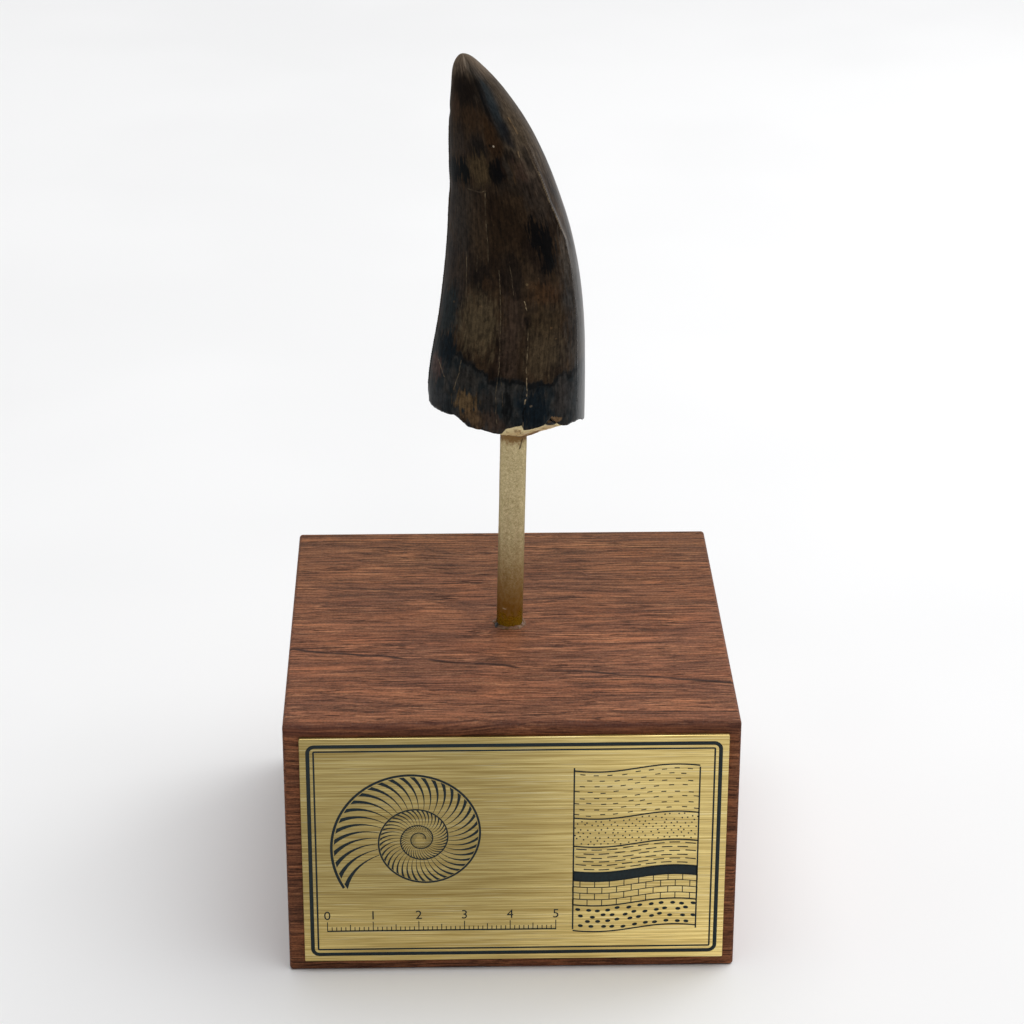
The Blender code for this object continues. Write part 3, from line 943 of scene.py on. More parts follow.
def makeEnamel():
    material, tree, shader = startMaterial("fossilEnamel")[:3]
    flow = addNode(tree, "ShaderNodeAttribute", attribute_name="crownFlow").outputs["Vector"]
    frayed = wandered(tree, flow, (2.0, 2.0, 3.4), (1.0, 1.0, 1.6), 2.0)
    frayed = wandered(tree, frayed, (0.5, 0.5, 0.8), (0.4, 0.4, 0.7), 4.0)
    shaky = wandered(tree, flow, (1.5, 1.5, 2.5), (0.2, 0.2, 0.2), 9.0)
    shaky = wandered(tree, shaky, (0.35, 0.35, 0.6), (0.06, 0.06, 0.1), 7.0)
    flowParts = axes(tree, flow)
    depth = flowParts[2]
    ragged = shade(tree, flow, (0.45, 0.45, 3.0), 0.25, 0.75, 13.0)
    fray = sway(tree, ragged, 0.95)

    slow = shade(tree, flow, (4.0, 4.0, 9.0), 0.34, 0.66, 1.0)
    colour = blend(tree, slow, paint(*enamel["deep"]), paint(*enamel["brown"]))
    greyer = shade(tree, flow, (7.0, 7.0, 20.0), 0.5, 0.75, 5.0)
    colour = lay(tree, colour, greyer, 0.6, enamel["grey"])
    colour = patchesOver(tree, frayed, fray, colour, crownPatches)
    colour = streaksOver(tree, frayed, colour, crownStreaks)

    # dark zone round the base, with a frayed upper rim and a darker line along it
    parts = axes(tree, frayed)
    height = minus(tree, crown["tipHeight"], parts[2])
    height = plus(tree, height, times(tree, fray, 0.8))
    across = plus(tree, sums(tree, "DIVIDE", parts[0], 2.0 * flowRadius), 0.5)
    rim = addNode(tree, "ShaderNodeFloatCurve", {"Value": across})
    curve = rim.mapping.curves[0]
    for index, (angle, z) in enumerate(enamel["baseRim"]):
        spot = (math.cos(math.radians(angle)) / 2 + 0.5, (z - enamel["rimLow"]) / enamel["rimSpan"])
        if index in (0, len(enamel["baseRim"]) - 1):
            curve.points[0 if index == 0 else -1].location = spot
        else:
            curve.points.new(*spot)
    rim.mapping.update()
    rimHeight = plus(tree, times(tree, rim.outputs[0], enamel["rimSpan"]), enamel["rimLow"])
    below = minus(tree, rimHeight, height)
    zone = blend(tree, shade(tree, flow, (1.4, 1.4, 4.0), 0.38, 0.68, 3.0), paint(*enamel["baseZone"]),
                 paint(*enamel["baseZoneLight"]))
    colour = blend(tree, times(tree, ramp(tree, below, -0.6, 0.6), 0.92), colour, zone)
    seam = ramp(tree, sums(tree, "ABSOLUTE", minus(tree, below, 0.5)), 0.2, 0.9, 0.8, 0.0)
    colour = blend(tree, seam, colour, paint(*enamel["seam"]))
    colour = patchesOver(tree, frayed, fray, colour, basePatches)

    # specks, silt and pits
    for x, z, radius, tint, strength in crownSpecks:
        mask = patchAt(tree, shaky, flowPoint(*flowAt(x, z)), (radius, radius, radius))
        colour = lay(tree, colour, mask, strength, tint)
    silt = shade(tree, flow, (0.26, 0.26, 0.34), 0.66, 0.76, 15.0)
    colour = lay(tree, colour, silt, 0.30, enamel["silt"])
    pits = shade(tree, flow, (0.5, 0.5, 0.9), 0.64, 0.72, 12.0)
    colour = lay(tree, colour, pits, 0.6, enamel["pit"])

    # mottling, and lengthwise striae that fade out towards the worn tip
    striae = shade(tree, shaky, (0.40, 0.40, 4.5), 0.3, 0.7, 6.0)
    mottle = shade(tree, shaky, (0.7, 0.7, 1.2), 0.3, 0.7, 8.0)
    grit = shade(tree, shaky, (0.24, 0.24, 0.3), 0.3, 0.7, 18.0)
    unworn = ramp(tree, depth, 4.0, 26.0, 0.25, 1.0)
    tone = stack(tree, times(tree, sway(tree, striae, 0.62), unworn), sway(tree, mottle, 0.62),
                 sway(tree, grit, 0.28), 1.0)
    colour = arrows(tree, "SCALE", colour, scale=tone)
    crackMarks, pale = cracksIn(tree, shaky, crownCracks)
    gaps = ramp(tree, shade(tree, flow, (0.7, 0.7, 1.1), 0.36, 0.6, 21.0), 0.0, 1.0, 0.3, 1.0)
    crackMarks = times(tree, crackMarks, gaps)
    colour = blend(tree, crackMarks, colour, blend(tree, pale, *(paint(*tint) for tint in crackFilling)))
    plug(tree, shader.inputs["Base Color"], colour)

    facing = addNode(tree, "ShaderNodeLayerWeight", {"Blend": 0.5}).outputs["Facing"]
    polish = times(tree, ramp(tree, depth, 22.0, 58.0, 0.12, 1.0),
                   ramp(tree, flowParts[0], -9.0, 0.0, 0.08, 1.0))
    grazing = times(tree, ramp(tree, facing, 0.34, 0.85), polish)
    sheen = times(tree, grazing, enamel["sheenGrazing"] - enamel["sheenFacing"])
    plug(tree, shader.inputs["Specular IOR Level"], plus(tree, sheen, enamel["sheenFacing"]))
    rough = plus(tree, times(tree, striae, 0.10), enamel["roughness"] - 0.05)
    rough = plus(tree, rough, ramp(tree, depth, 2.0, 30.0, 0.22, 0.0))
    plug(tree, shader.inputs["Roughness"], rough)
    height = plus(tree, times(tree, striae, 0.25), times(tree, mottle, 0.3))
    height = minus(tree, height, crackMarks)
    height = minus(tree, height, times(tree, pits, 0.4))
    relief(tree, shader, height, 0.06, 0.7)
    return material


fossilEnamel = makeEnamel()
carinaTeeth = makeCarinaTeeth()
toothCrown = makeCrown(fossilEnamel)
edges = []
for label, angleAt, first, last in (("rearEdge", lambda depth: 180.0, 16.0, 74.0),
                                    ("foreEdge", lambda depth: foreRidgeAngle(depth) % 360.0, 17.0, 76.0)):
    edge = makeCarinaPath(label, angleAt, first, last)
    edges.append(edge)
    sizes = {key: value * mm for key, value in crown["denticles"].items()}
    addTree(toothCrown, carinaTeeth, dict(sizes, Edge=edge, Seed=len(edges), Finish=fossilEnamel))
freeze(toothCrown)
for edge in edges:
    discard(edge)
finishPiece(toothCrown, "tooth")


# wooden block

block = {
    "width": 98.0, "depth": 98.0, "height": 61.0,
    "frontRound": 2.5,  # upper front edge
    "edgeEase": 0.8,  # every other edge
    "holeRadius": 3.25,
}
rod = {
    "radius": 2.95,
    "foot": (0.6, -0.5, 61.0),
    "lean": 1.0,  # degrees to +X
    "bottom": 36.0, "top": 126.0,
    "shown": (60.0, 112.0), "ringStep": 0.4,  # finely divided where it shows
    "relief": {"seed": 11.0, "swell": (0.05, 2.6, 2.6, 6), "ripple": (0.025, 0.6, 0.6, 0.8)},
}
wood = {
    "light": (158, 102, 70), "middle": (132, 84, 58), "dark": (92, 56, 40), "pore": (50, 29, 22),
    "glint": (188, 132, 95), "orange": (160, 96, 62), "purple": (98, 66, 56), "back": (0.80, 0.84, 0.75),
    "front": (0.80, 0.76, 0.70),  # back and front multiply what is there: painted shade
    "crack": (40, 24, 19), "frontEdge": (76, 42, 34), "arris": (80, 46, 34), "dust": (190, 178, 165),
    # dull smudges: X, Y, Z, half length along the grain, half width, strength
    "smudges": ((-12, 33, 61, 7, 4, 0.5), (-28, 20, 61, 14, 4.0, 0.45), (32, 31, 61, 8, 3.5, 0.7),
                (10, 26, 61, 13, 3.5, 0.6), (-20, -4, 61, 5, 1.6, 0.8), (22, -3, 61, 7, 2.0, 0.5),
                (36, -31, 61, 7, 3.0, 0.5), (-2, -20, 61, 6, 2.0, 0.4), (30, 8, 61, 12, 2.5, 0.3),
                (-34, -24, 61, 9, 2.0, 0.3)),
}


def rodAxis(z):
    return rod["foot"][0] + math.tan(math.radians(rod["lean"])) * (z - rod["foot"][2])


def aroundRod(turn, z, radius):
    return rodAxis(z) + radius * math.cos(turn), rod["foot"][1] + radius * math.sin(turn), z


def makeWood():
    material, tree, shader, place = startMaterial("reddishWood")
    drifting = wandered(tree, place, (45.0, 20.0, 20.0), (0.0, 3.0, 2.5), 3.0)
    waving = wandered(tree, drifting, (8.0, 3.0, 3.0), (0.0, 0.32, 0.32), 1.0)
    bands = shade(tree, waving, (90.0, 3.0, 2.2), 0.32, 0.68, 2.0)
    broad = shade(tree, waving, (50.0, 1.7, 1.2), 0.34, 0.66, 4.0)
    lines = shade(tree, waving, (45.0, 0.62, 0.46), 0.34, 0.66, 9.0)
    flecks = shade(tree, waving, (7.0, 0.46, 0.34), 0.32, 0.68, 16.0)
    grit = shade(tree, place, (0.5, 0.45, 0.34), 0.32, 0.68, 17.0)
    pores = shade(tree, waving, (5.0, 0.48, 0.36), 0.56, 0.66, 6.0)
    longPores = shade(tree, waving, (22.0, 0.6, 0.45), 0.58, 0.67, 8.0)
    glints = shade(tree, waving, (14.0, 0.46, 0.36), 0.55, 0.68, 10.0)
    clouds = shade(tree, place, (17.0, 8.0, 8.0), 0.38, 0.68, 5.0)
    warmth = shade(tree, place, (26.0, 10.0, 10.0), 0.42, 0.66, 11.0)
    parts = axes(tree, place)

    colour = blend(tree, bands, paint(*wood["middle"]), paint(*wood["light"]))
    colour = lay(tree, colour, warmth, 0.45, wood["orange"])
    colour = lay(tree, colour, clouds, 0.35, wood["purple"])
    for x, y, z, halfLength, halfWidth, strength in wood["smudges"]:
        mask = patchAt(tree, waving, (x, y, z), (halfLength, halfWidth, 9.0), 0.6)
        streaky = times(tree, mask, ramp(tree, broad, 0.2, 0.9, 1.0, 0.25))
        colour = lay(tree, colour, streaky, strength, wood["dark"])
    for pattern, share in ((broad, 0.32), (lines, 0.58)):
        colour = lay(tree, colour, minus(tree, 1.0, pattern), share, wood["dark"])
    colour = lay(tree, colour, glints, 0.5, wood["glint"])
    tone = stack(tree, sway(tree, lines, 0.50), sway(tree, flecks, 0.42), sway(tree, grit, 0.40), 1.0)
    colour = arrows(tree, "SCALE", colour, scale=tone)
    grooves = sums(tree, "MAXIMUM", times(tree, pores, 0.75), times(tree, longPores, 0.85))
    colour = blend(tree, grooves, colour, paint(*wood["pore"]))

    # one long dark line that runs across the top at a slant
    shaky = wandered(tree, place, (9.0, 9.0, 9.0), (0.0, 1.1, 0.0), 6.0)
    slant = lineAt(tree, shaky, (-52.0, -12.6, 61.0), (52.0, -31.4, 61.0), 0.95)
    broken = ramp(tree, shade(tree, place, (7.0, 7.0, 7.0), 0.3, 0.6, 14.0), 0.0, 1.0, 0.4, 0.9)
    colour = lay(tree, colour, slant, broken, wood["crack"])

    # painted shade: the top is darker towards the back, and the front face darker than the top; a redder,
    # darker band runs along the rounded front edge
    back = ramp(tree, parts[1], -20.0, 52.0)
    colour = blend(tree, back, colour, (*wood["back"], 1.0), "MULTIPLY")
    frontShadeShare = ramp(tree, parts[1], -47.6, -48.9)
    colour = blend(tree, frontShadeShare, colour, (*wood["front"], 1.0), "MULTIPLY")
    rounded = times(tree, ramp(tree, parts[1], -46.2, -48.2), ramp(tree, parts[2], 57.5, 59.0))
    darkBand = times(tree, rounded, ramp(tree, broad, 0.0, 1.0, 0.65, 0.25))
    colour = blend(tree, darkBand, colour, paint(*wood["frontEdge"]))
    half = (block["width"] / 2, block["depth"] / 2, block["height"] / 2)
    arris = useGroup(tree, edgeBand, {"Vector": place, "Centre": (0.0, 0.0, half[2]), "Half": half,
                                      "Width": 0.9})
    colour = lay(tree, colour, arris, 0.35, wood["arris"])
    normal = addNode(tree, "ShaderNodeNewGeometry").outputs["Normal"]
    dust = useGroup(tree, settledDust, {"Vector": place, "Normal": normal, "Size": 0.5, "Amount": 0.05})
    colour = blend(tree, dust, colour, paint(*wood["dust"]))
    plug(tree, shader.inputs["Base Color"], colour)
    plug(tree, shader.inputs["Roughness"], ramp(tree, grooves, 0.0, 1.0, 0.58, 0.78))
    shader.inputs["Specular IOR Level"].default_value = 0.12
    height = minus(tree, times(tree, lines, 0.3), grooves)
    relief(tree, shader, height, 0.08, 0.5)
    return material


def makeBlock(finish):
    shell = bmesh.new()
    bmesh.ops.create_cube(shell, size=1.0)
    for vertex in shell.verts:
        vertex.co = Vector((vertex.co.x * block["width"], vertex.co.y * block["depth"],
                            (vertex.co.z + 0.5) * block["height"])) * mm
    weights = shell.edges.layers.float.new("bevel_weight_edge")
    for edge in shell.edges:
        ends = [vertex.co for vertex in edge.verts]
        upperFront = all(end.y < 0 and end.z > 0.03 for end in ends)
        edge[weights] = 1.0 if upperFront else block["edgeEase"] / block["frontRound"]
    mesh = bpy.data.meshes.new("woodBlock")
    shell.to_mesh(mesh)
    shell.free()
    mesh.shade_smooth()
    mesh.materials.append(finish)
    piece = placed("woodBlock", mesh)
    bevel = piece.modifiers.new("eased", "BEVEL")
    bevel.width = block["frontRound"] * mm
    bevel.segments = 8
    bevel.limit_method = "WEIGHT"
    bevel.harden_normals = True

    # the hole follows the rod
    sides = 64
    points = []
    for z in (rod["bottom"] - 0.5, block["height"] + 4.0):
        for index in range(sides):
            points.append(aroundRod(math.tau * index / sides, z, block["holeRadius"]))
    faces = [tuple(reversed(range(sides))), tuple(range(sides, 2 * sides))]
    for index in range(sides):
        after = (index + 1) % sides
        faces.append((index, after, sides + after, sides + index))
    cutter = pieceFromPoints("rodHole", points, faces, smooth=False)
    cutter.data.materials.append(finish)
    hole = piece.modifiers.new("hole", "BOOLEAN")
    hole.operation = "DIFFERENCE"
    hole.object = cutter
    hole.solver = "EXACT"
    freeze(piece)
    discard(cutter)
    return piece


reddishWood = makeWood()
woodBlock = makeBlock(reddishWood)
finishPiece(woodBlock, "block")


# rod, putty and glue

gold = {
    "light": (210, 193, 146), "middle": (184, 167, 120), "dark": (120, 98, 58), "reflectedWood": (144, 103, 30),
    "slant": (70, 50, 24),  # what the flakes mirror at a slant
    "flake": (250, 236, 196), "fineFlake": (252, 240, 206),
    "chalk": (252, 230, 174), "run": (128, 92, 48), "gap": (8, 6, 5), "creaseShade": (136, 102, 60),
    "under": (112, 76, 48), "stain": (146, 112, 66),
    "wet": (170, 144, 30), "shadowUnderLip": (116, 80, 38), "crack": (58, 38, 24), "paintedGlint": (206, 186, 150),
    "roughness": 0.40,
}


def makeGold(name, chalk):
    # metallic flake paint; chalk makes it paler and duller
    material, tree, shader, place = startMaterial(name)
    flakes = useGroup(tree, grains, {"Vector": place, "Size": 0.26, "Low": 0.0, "High": 1.0})
    fine = useGroup(tree, grains, {"Vector": place, "Size": 0.18, "Low": 0.2, "High": 1.0})
    clouds = shade(tree, place, (0.7, 0.7, 1.0), 0.32, 0.68, 3.0)
    colour = blend(tree, clouds, paint(*gold["middle"]), paint(*gold["light"]))
    colour = blend(tree, 0.26, colour, blend(tree, flakes, paint(*gold["dark"]), paint(*gold["flake"])))
    colour = blend(tree, 0.14, colour, blend(tree, fine, paint(*gold["dark"]), paint(*gold["fineFlake"])))
    height = axes(tree, place)[2]
    rough = ramp(tree, flakes, 0.0, 1.0, gold["roughness"] - 0.08, gold["roughness"] + 0.14)
    if chalk:
        colour = blend(tree, 0.75, colour, paint(*gold["chalk"]))
        # painted shade: browner on the underside close to the rod
        away = arrows(tree, "SUBTRACT", place, (rodAxis(108.0), rod["foot"][1], 108.0))
        away = arrows(tree, "LENGTH", arrows(tree, "MULTIPLY", away, (1.0, 1.0, 0.0)))
        away = minus(tree, away, clouds)
        colour = blend(tree, ramp(tree, away, 2.4, 4.2, 0.8, 0.0), colour, paint(*gold["run"]))
        # painted shadow: a near-black patch in the gap behind the notch in the tooth's edge
        gap = patchAt(tree, place, (9.5, -9.3, 114.15), (1.9, 1.6, 0.8), 0.15)
        colour = blend(tree, gap, colour, paint(*gold["gap"]))
        shaky = wandered(tree, place, (0.8, 0.8, 0.8), (0.4, 0.4, 0.4))
        # painted shade in a crease of the lip
        creaseShade = lineAt(tree, shaky, (1.6, -11.0, 112.8), (3.4, -8.2, 110.6), 0.9)
        colour = lay(tree, colour, creaseShade, 0.75, gold["creaseShade"])
        # painted shade along the lip's underside, where it meets the rod
        under = lineAt(tree, shaky, (2.8, -2.4, 107.6), (6.8, -5.4, 110.2), 1.5)
        colour = lay(tree, colour, under, 0.8, gold["under"])
        stains = shade(tree, place, (1.6, 1.6, 1.0), 0.56, 0.66, 31.0)
        colour = lay(tree, colour, stains, 0.5, gold["stain"])
    else:
        # painted reflection: olive-brown towards the foot, where the rod mirrors the reddish wood
        foot = times(tree, ramp(tree, height, 62.0, 87.0, 1.0, 0.0), ramp(tree, clouds, 0.0, 1.0, 1.0, 0.9))
        colour = blend(tree, foot, colour, paint(*gold["reflectedWood"]))
        # flakes lie flat in the paint, so they mirror less at a slant
        shader.inputs["Specular Tint"].default_value = paint(*gold["slant"])
        wet = ramp(tree, plus(tree, height, times(tree, clouds, 2.0)), 64.0, 66.0, 1.0, 0.0)
        colour = lay(tree, colour, wet, 0.65, gold["wet"])
        rough = minus(tree, rough, times(tree, wet, 0.22))
        # painted shadow: brown on the rod's top, under the putty's overhanging lip
        stain = ramp(tree, plus(tree, height, clouds), 106.2, 107.8)
        colour = lay(tree, colour, stain, 0.85, gold["shadowUnderLip"])
        shaky = wandered(tree, place, (0.8, 0.8, 0.8), (0.25, 0.25, 0.25))
        crack = lineAt(tree, shaky, (3.3, -2.8, 107.2), (2.7, -3.05, 105.2), 0.45)
        colour = lay(tree, colour, crack, 0.85, gold["crack"])
        # painted glint: one pale spot low on the rod
        paintedGlint = patchAt(tree, shaky, (-0.7, -3.2, 65.9), (0.5, 1.0, 0.2))
        colour = lay(tree, colour, paintedGlint, 0.8, gold["paintedGlint"])
    plug(tree, shader.inputs["Base Color"], colour)
    plug(tree, shader.inputs["Roughness"], rough)
    metal = ramp(tree, flakes, 0.0, 1.0, 0.15 if chalk else 0.45, 0.35 if chalk else 0.8)
    plug(tree, shader.inputs["Metallic"], metal)
    relief(tree, shader, plus(tree, flakes, clouds), 0.025, 0.4)
    return material


def tubeFaces(starts, sides, loop=False):
    faces = []
    pairs = list(zip(starts, starts[1:]))
    if loop:
        pairs.append((starts[-1], starts[0]))
    for lower, upper in pairs:
        for index in range(sides):
            after = (index + 1) % sides
            faces.append((lower + index, lower + after, upper + after, upper + index))
    return faces


def makeRod(finish):
    sides = 72
    low, high = rod["shown"]
    steps = round((high - low) / rod["ringStep"])
    heights = [rod["bottom"], low - 2.0]
    heights += [low + rod["ringStep"] * step for step in range(steps + 1)]
    heights += [high + 4.0, rod["top"]]
    points = []
    starts = []
    shares = []
    for z in heights:
        starts.append(len(points))
        for index in range(sides):
            points.append(aroundRod(math.tau * index / sides, z, rod["radius"]))
            shares.append(1.0 if low <= z <= high + 0.5 else 0.0)
    faces = tubeFaces(starts, sides)
    faces.append(tuple(reversed(range(sides))))
    faces.append(tuple(range(starts[-1], starts[-1] + sides)))
    piece = pieceFromPoints("goldRod", points, faces)
    roughen(piece, shares, rod["relief"], finish)
    return freeze(piece)


putty = {
    "rimInset": 1.6, "topInset": 1.85, "topRise": 0.15,  # where it meets the tooth
    # degrees round the section, how far the lip hangs below the broken edge
    "lip": ((0, 0.5), (60, 0.3), (120, 0.2), (200, 0.1), (250, 0.0), (262, 0.3), (268, 1.6), (276, 2.0),
            (281, 1.4), (289, 1.3), (296, 1.1), (299.5, 1.5), (303, 2.3), (305.5, 1.9), (309.5, 0.6),
            (312, 0.5), (325, 0.5), (340, 0.6), (360, 0.5)),
    # degrees, how far it has shrunk away from the tooth
    "shrunk": ((0, 0.0), (297, 0.0), (300.5, 1.8), (305, 2.0), (308, 0.0), (360, 0.0)),
    "mouth": 108.3, "sag": 0.9, "hollow": 0.2, "lumps": 0.35,
    "rodGap": 0.02,
    # height and inset from the tooth's skin; no inset means along the rod
    "inside": ((112.0, None), (124.0, None), (124.0, 7.2), (119.5, 6.6), (117.6, 4.2)),
    "sides": 180, "rings": 36,
    "relief": {"seed": 5.0, "swell": (0.26, 1.8, 1.8, 1.8), "ripple": (0.05, 0.6, 0.6, 0.6)},
}


def makePutty(finish):
    sides = putty["sides"]
    rings = putty["rings"]
    boreRadius = rod["radius"] + putty["rodGap"]
    angles = [360.0 * index / sides for index in range(sides)]
    points = []
    starts = []
    shares = []
    for ring in range(rings + 1):
        share = ring / rings
        starts.append(len(points))
        for angle in angles:
            turn = math.radians(angle)
            edge = between(crown["brokenEdge"], angle)
            rim = crownPoint(angle, crown["tipHeight"] - edge, putty["rimInset"])
            rim.z = edge - between(putty["lip"], angle)
            bore = Vector(aroundRod(turn, putty["mouth"], boreRadius))
            bore.z -= putty["sag"] * math.cos(turn)
            spot = rim.lerp(bore, share)
            spot.z += putty["hollow"] * math.sin(math.pi * share)
            grit = noise.noise(Vector((spot.x * 0.45, spot.y * 0.45, 4.0)))
            spot.z += putty["lumps"] * grit * math.sin(math.pi * share)
            points.append(spot)
            shares.append(min(1.0, 4.0 * share) * min(1.0, 4.0 * (1.0 - share)))
    # up the rod, across and down inside the tooth
    for height, inset in putty["inside"]:
        starts.append(len(points))
        for angle in angles:
            if inset is None:
                points.append(Vector(aroundRod(math.radians(angle), height, boreRadius)))
            else:
                points.append(crownPoint(angle, crown["tipHeight"] - height, inset))
            shares.append(0.0)
    starts.append(len(points))
    for angle in angles:
        edge = between(crown["brokenEdge"], angle)
        spot = crownPoint(angle, crown["tipHeight"] - edge, putty["topInset"])
        spot.z = edge + putty["topRise"] - between(putty["shrunk"], angle)
        points.append(spot)
        shares.append(0.0)
    piece = pieceFromPoints("puttyPlug", points, tubeFaces(starts, sides, loop=True))
    faceOutwards(piece)
    roughen(piece, shares, putty["relief"], finish)
    return freeze(piece)


glue = {
    "inner": 2.97, "width": 0.8, "height": 0.55,
    "bottom": 61.02,
    "sides": 96, "rings": 20,
    "dark": (98, 70, 38), "light": (136, 94, 66), "holeShade": (30, 18, 10),
}


def makeGlueFinish():
    material, tree, shader, place = startMaterial("clearGlue")
    clouds = shade(tree, place, (0.7, 0.7, 0.5), 0.3, 0.7, 2.0)
    colour = blend(tree, clouds, paint(*glue["dark"]), paint(*glue["light"]))
    # painted shade: a dark patch where the gap round the rod shows
    holeShade = patchAt(tree, place, (-2.7, -1.9, 61.2), (0.8, 1.1, 1.0), 0.3)
    plug(tree, shader.inputs["Base Color"], blend(tree, holeShade, colour, paint(*glue["holeShade"])))
    plug(tree, shader.inputs["Roughness"], ramp(tree, clouds, 0.0, 1.0, 0.08, 0.25))
    shader.inputs["Transmission Weight"].default_value = 0.15
    shader.inputs["IOR"].default_value = 1.33
    shader.inputs["Specular IOR Level"].default_value = 0.25
    relief(tree, shader, shade(tree, place, (0.5, 0.5, 0.4), 0.3, 0.7, 4.0), 0.04, 0.3)
    return material


def makeGlue(finish):
    sides = glue["sides"]
    rings = glue["rings"]
    points = []
    starts = []
    for ring in range(rings):
        starts.append(len(points))
        section = math.tau * ring / rings
        for index in range(sides):
            turn = math.tau * index / sides
            lump = noise.noise(Vector((math.cos(turn) * 2.3, math.sin(turn) * 2.3, 1.0)))
            fine = noise.noise(Vector((math.cos(turn) * 6.0, math.sin(turn) * 6.0, section)))
            width = glue["width"] * (1.0 + 0.7 * lump + 0.2 * fine)
            swell = noise.noise(Vector((math.cos(turn) * 3.1, math.sin(turn) * 3.1, 9.0)))
            height = glue["height"] * (1.0 + 0.6 * swell + 0.2 * fine)
            radius = glue["inner"] + width / 2 - width / 2 * math.cos(section)
            share = (1.0 - math.cos(section)) / 2  # from the rod outwards
            over = min(section / 0.3, 1.0) if section < math.pi else 0.0
            z = glue["bottom"] + over * (1.0 - share) ** 1.8 * height
            points.append((rod["foot"][0] + radius * math.cos(turn),
                           rod["foot"][1] + radius * math.sin(turn), z))
    piece = pieceFromPoints("glueRing", points, tubeFaces(starts, sides, loop=True))
    faceOutwards(piece, 0.000001)
    piece.data.materials.append(finish)
    return piece


goldPaint = makeGold("goldPaint", False)
goldPutty = makeGold("goldPutty", True)
clearGlue = makeGlueFinish()
finishPiece(makeRod(goldPaint), "rod")
finishPiece(makePutty(goldPutty), "putty")
finishPiece(makeGlue(clearGlue), "glue")


# engraved plate

plate = {
    "width": 92.0, "height": 55.5,
    "middle": 0.45, "bottom": 2.85,
    "front": -50.08, "back": -49.02,
    "chamfer": 0.25,
}
brass = {"dark": (200, 167, 92), "light": (255, 233, 160), "scratch": (255, 246, 206),
         "stain": (150, 126, 74)}
ink = {"dark": (12, 24, 26), "light": (22, 38, 42)}
border = {
    "inset": 1.4, "thick": 0.85, "corner": 1.5,
    "gap": 0.62, "thin": 0.38,
}
drawing = {"proud": 0.02, "sunk": 0.08}


def makeBrass():
    material, tree, shader, place = startMaterial("brushedBrass")
    brush = shade(tree, place, (26.0, 4.0, 0.19), 0.3, 0.7, 1.0)
    fineBrush = shade(tree, place, (12.0, 4.0, 0.14), 0.3, 0.7, 7.0)
    broad = shade(tree, place, (60.0, 4.0, 0.7), 0.3, 0.7, 3.0)
    scratches = shade(tree, place, (16.0, 4.0, 0.16), 0.60, 0.68, 12.0)
    lines = plus(tree, times(tree, brush, 0.45), times(tree, fineBrush, 0.4))
    lines = plus(tree, lines, times(tree, broad, 0.15))
    colour = blend(tree, lines, paint(*brass["dark"]), paint(*brass["light"]))
    colour = lay(tree, colour, scratches, 0.5, brass["scratch"])
    # painted reflection: the brushing is brighter to the right and towards the foot
    parts = axes(tree, place)
    low = ramp(tree, parts[2], 2.0, 26.0, 1.0, 0.0)
    paintedReflection = times(tree, ramp(tree, parts[0], -45.0, 40.0, 0.38, 0.24), low)
    paintedReflection = plus(tree, paintedReflection, ramp(tree, parts[0], -12.0, 36.0, 0.45, 0.82))
    paintedReflection = times(tree, paintedReflection, ramp(tree, lines, 0.2, 0.8, 0.88, 1.12))
    colour = arrows(tree, "SCALE", colour, scale=paintedReflection)
    stains = shade(tree, place, (12.0, 8.0, 9.0), 0.45, 0.8, 9.0)
    colour = lay(tree, colour, stains, 0.12, brass["stain"])
    plug(tree, shader.inputs["Base Color"], colour)
    plug(tree, shader.inputs["Roughness"], ramp(tree, lines, 0.0, 1.0, 0.40, 0.26))
    shader.inputs["Metallic"].default_value = 1.0
    shader.inputs["Anisotropic"].default_value = 0.5
    relief(tree, shader, lines, 0.015, 0.5)
    return material


def makeInk():
    material, tree, shader, place = startMaterial("engravedInk")
    clouds = shade(tree, place, (0.6, 0.6, 0.6), 0.3, 0.7, 2.0)
    plug(tree, shader.inputs["Base Color"], blend(tree, clouds, paint(*ink["dark"]), paint(*ink["light"])))
    plug(tree, shader.inputs["Roughness"], ramp(tree, clouds, 0.0, 1.0, 0.45, 0.6))
    shader.inputs["Specular IOR Level"].default_value = 0.25
    return material


def makePlateSlab(finish):
    shell = bmesh.new()
    bmesh.ops.create_cube(shell, size=1.0)
    for vertex in shell.verts:
        vertex.co = Vector((plate["middle"] + vertex.co.x * plate["width"],
                            plate["front"] if vertex.co.y < 0 else plate["back"],
                            plate["bottom"] + (vertex.co.z + 0.5) * plate["height"])) * mm
    corners = [edge for edge in shell.edges
               if abs(edge.verts[0].co.y - edge.verts[1].co.y) > 0.0001]
    bmesh.ops.bevel(shell, geom=corners, offset=0.3 * mm, segments=4, profile=0.5, affect="EDGES")
    front = [edge for edge in shell.edges
             if all(vertex.co.y < (plate["front"] + 0.01) * mm for vertex in edge.verts)]
    bmesh.ops.bevel(shell, geom=front, offset=plate["chamfer"] * mm, segments=2, profile=0.5, affect="EDGES")
    mesh = bpy.data.meshes.new("plateSlab")
    shell.to_mesh(mesh)
    shell.free()
    mesh.materials.append(finish)
    piece = placed("plateSlab", mesh)
    return piece


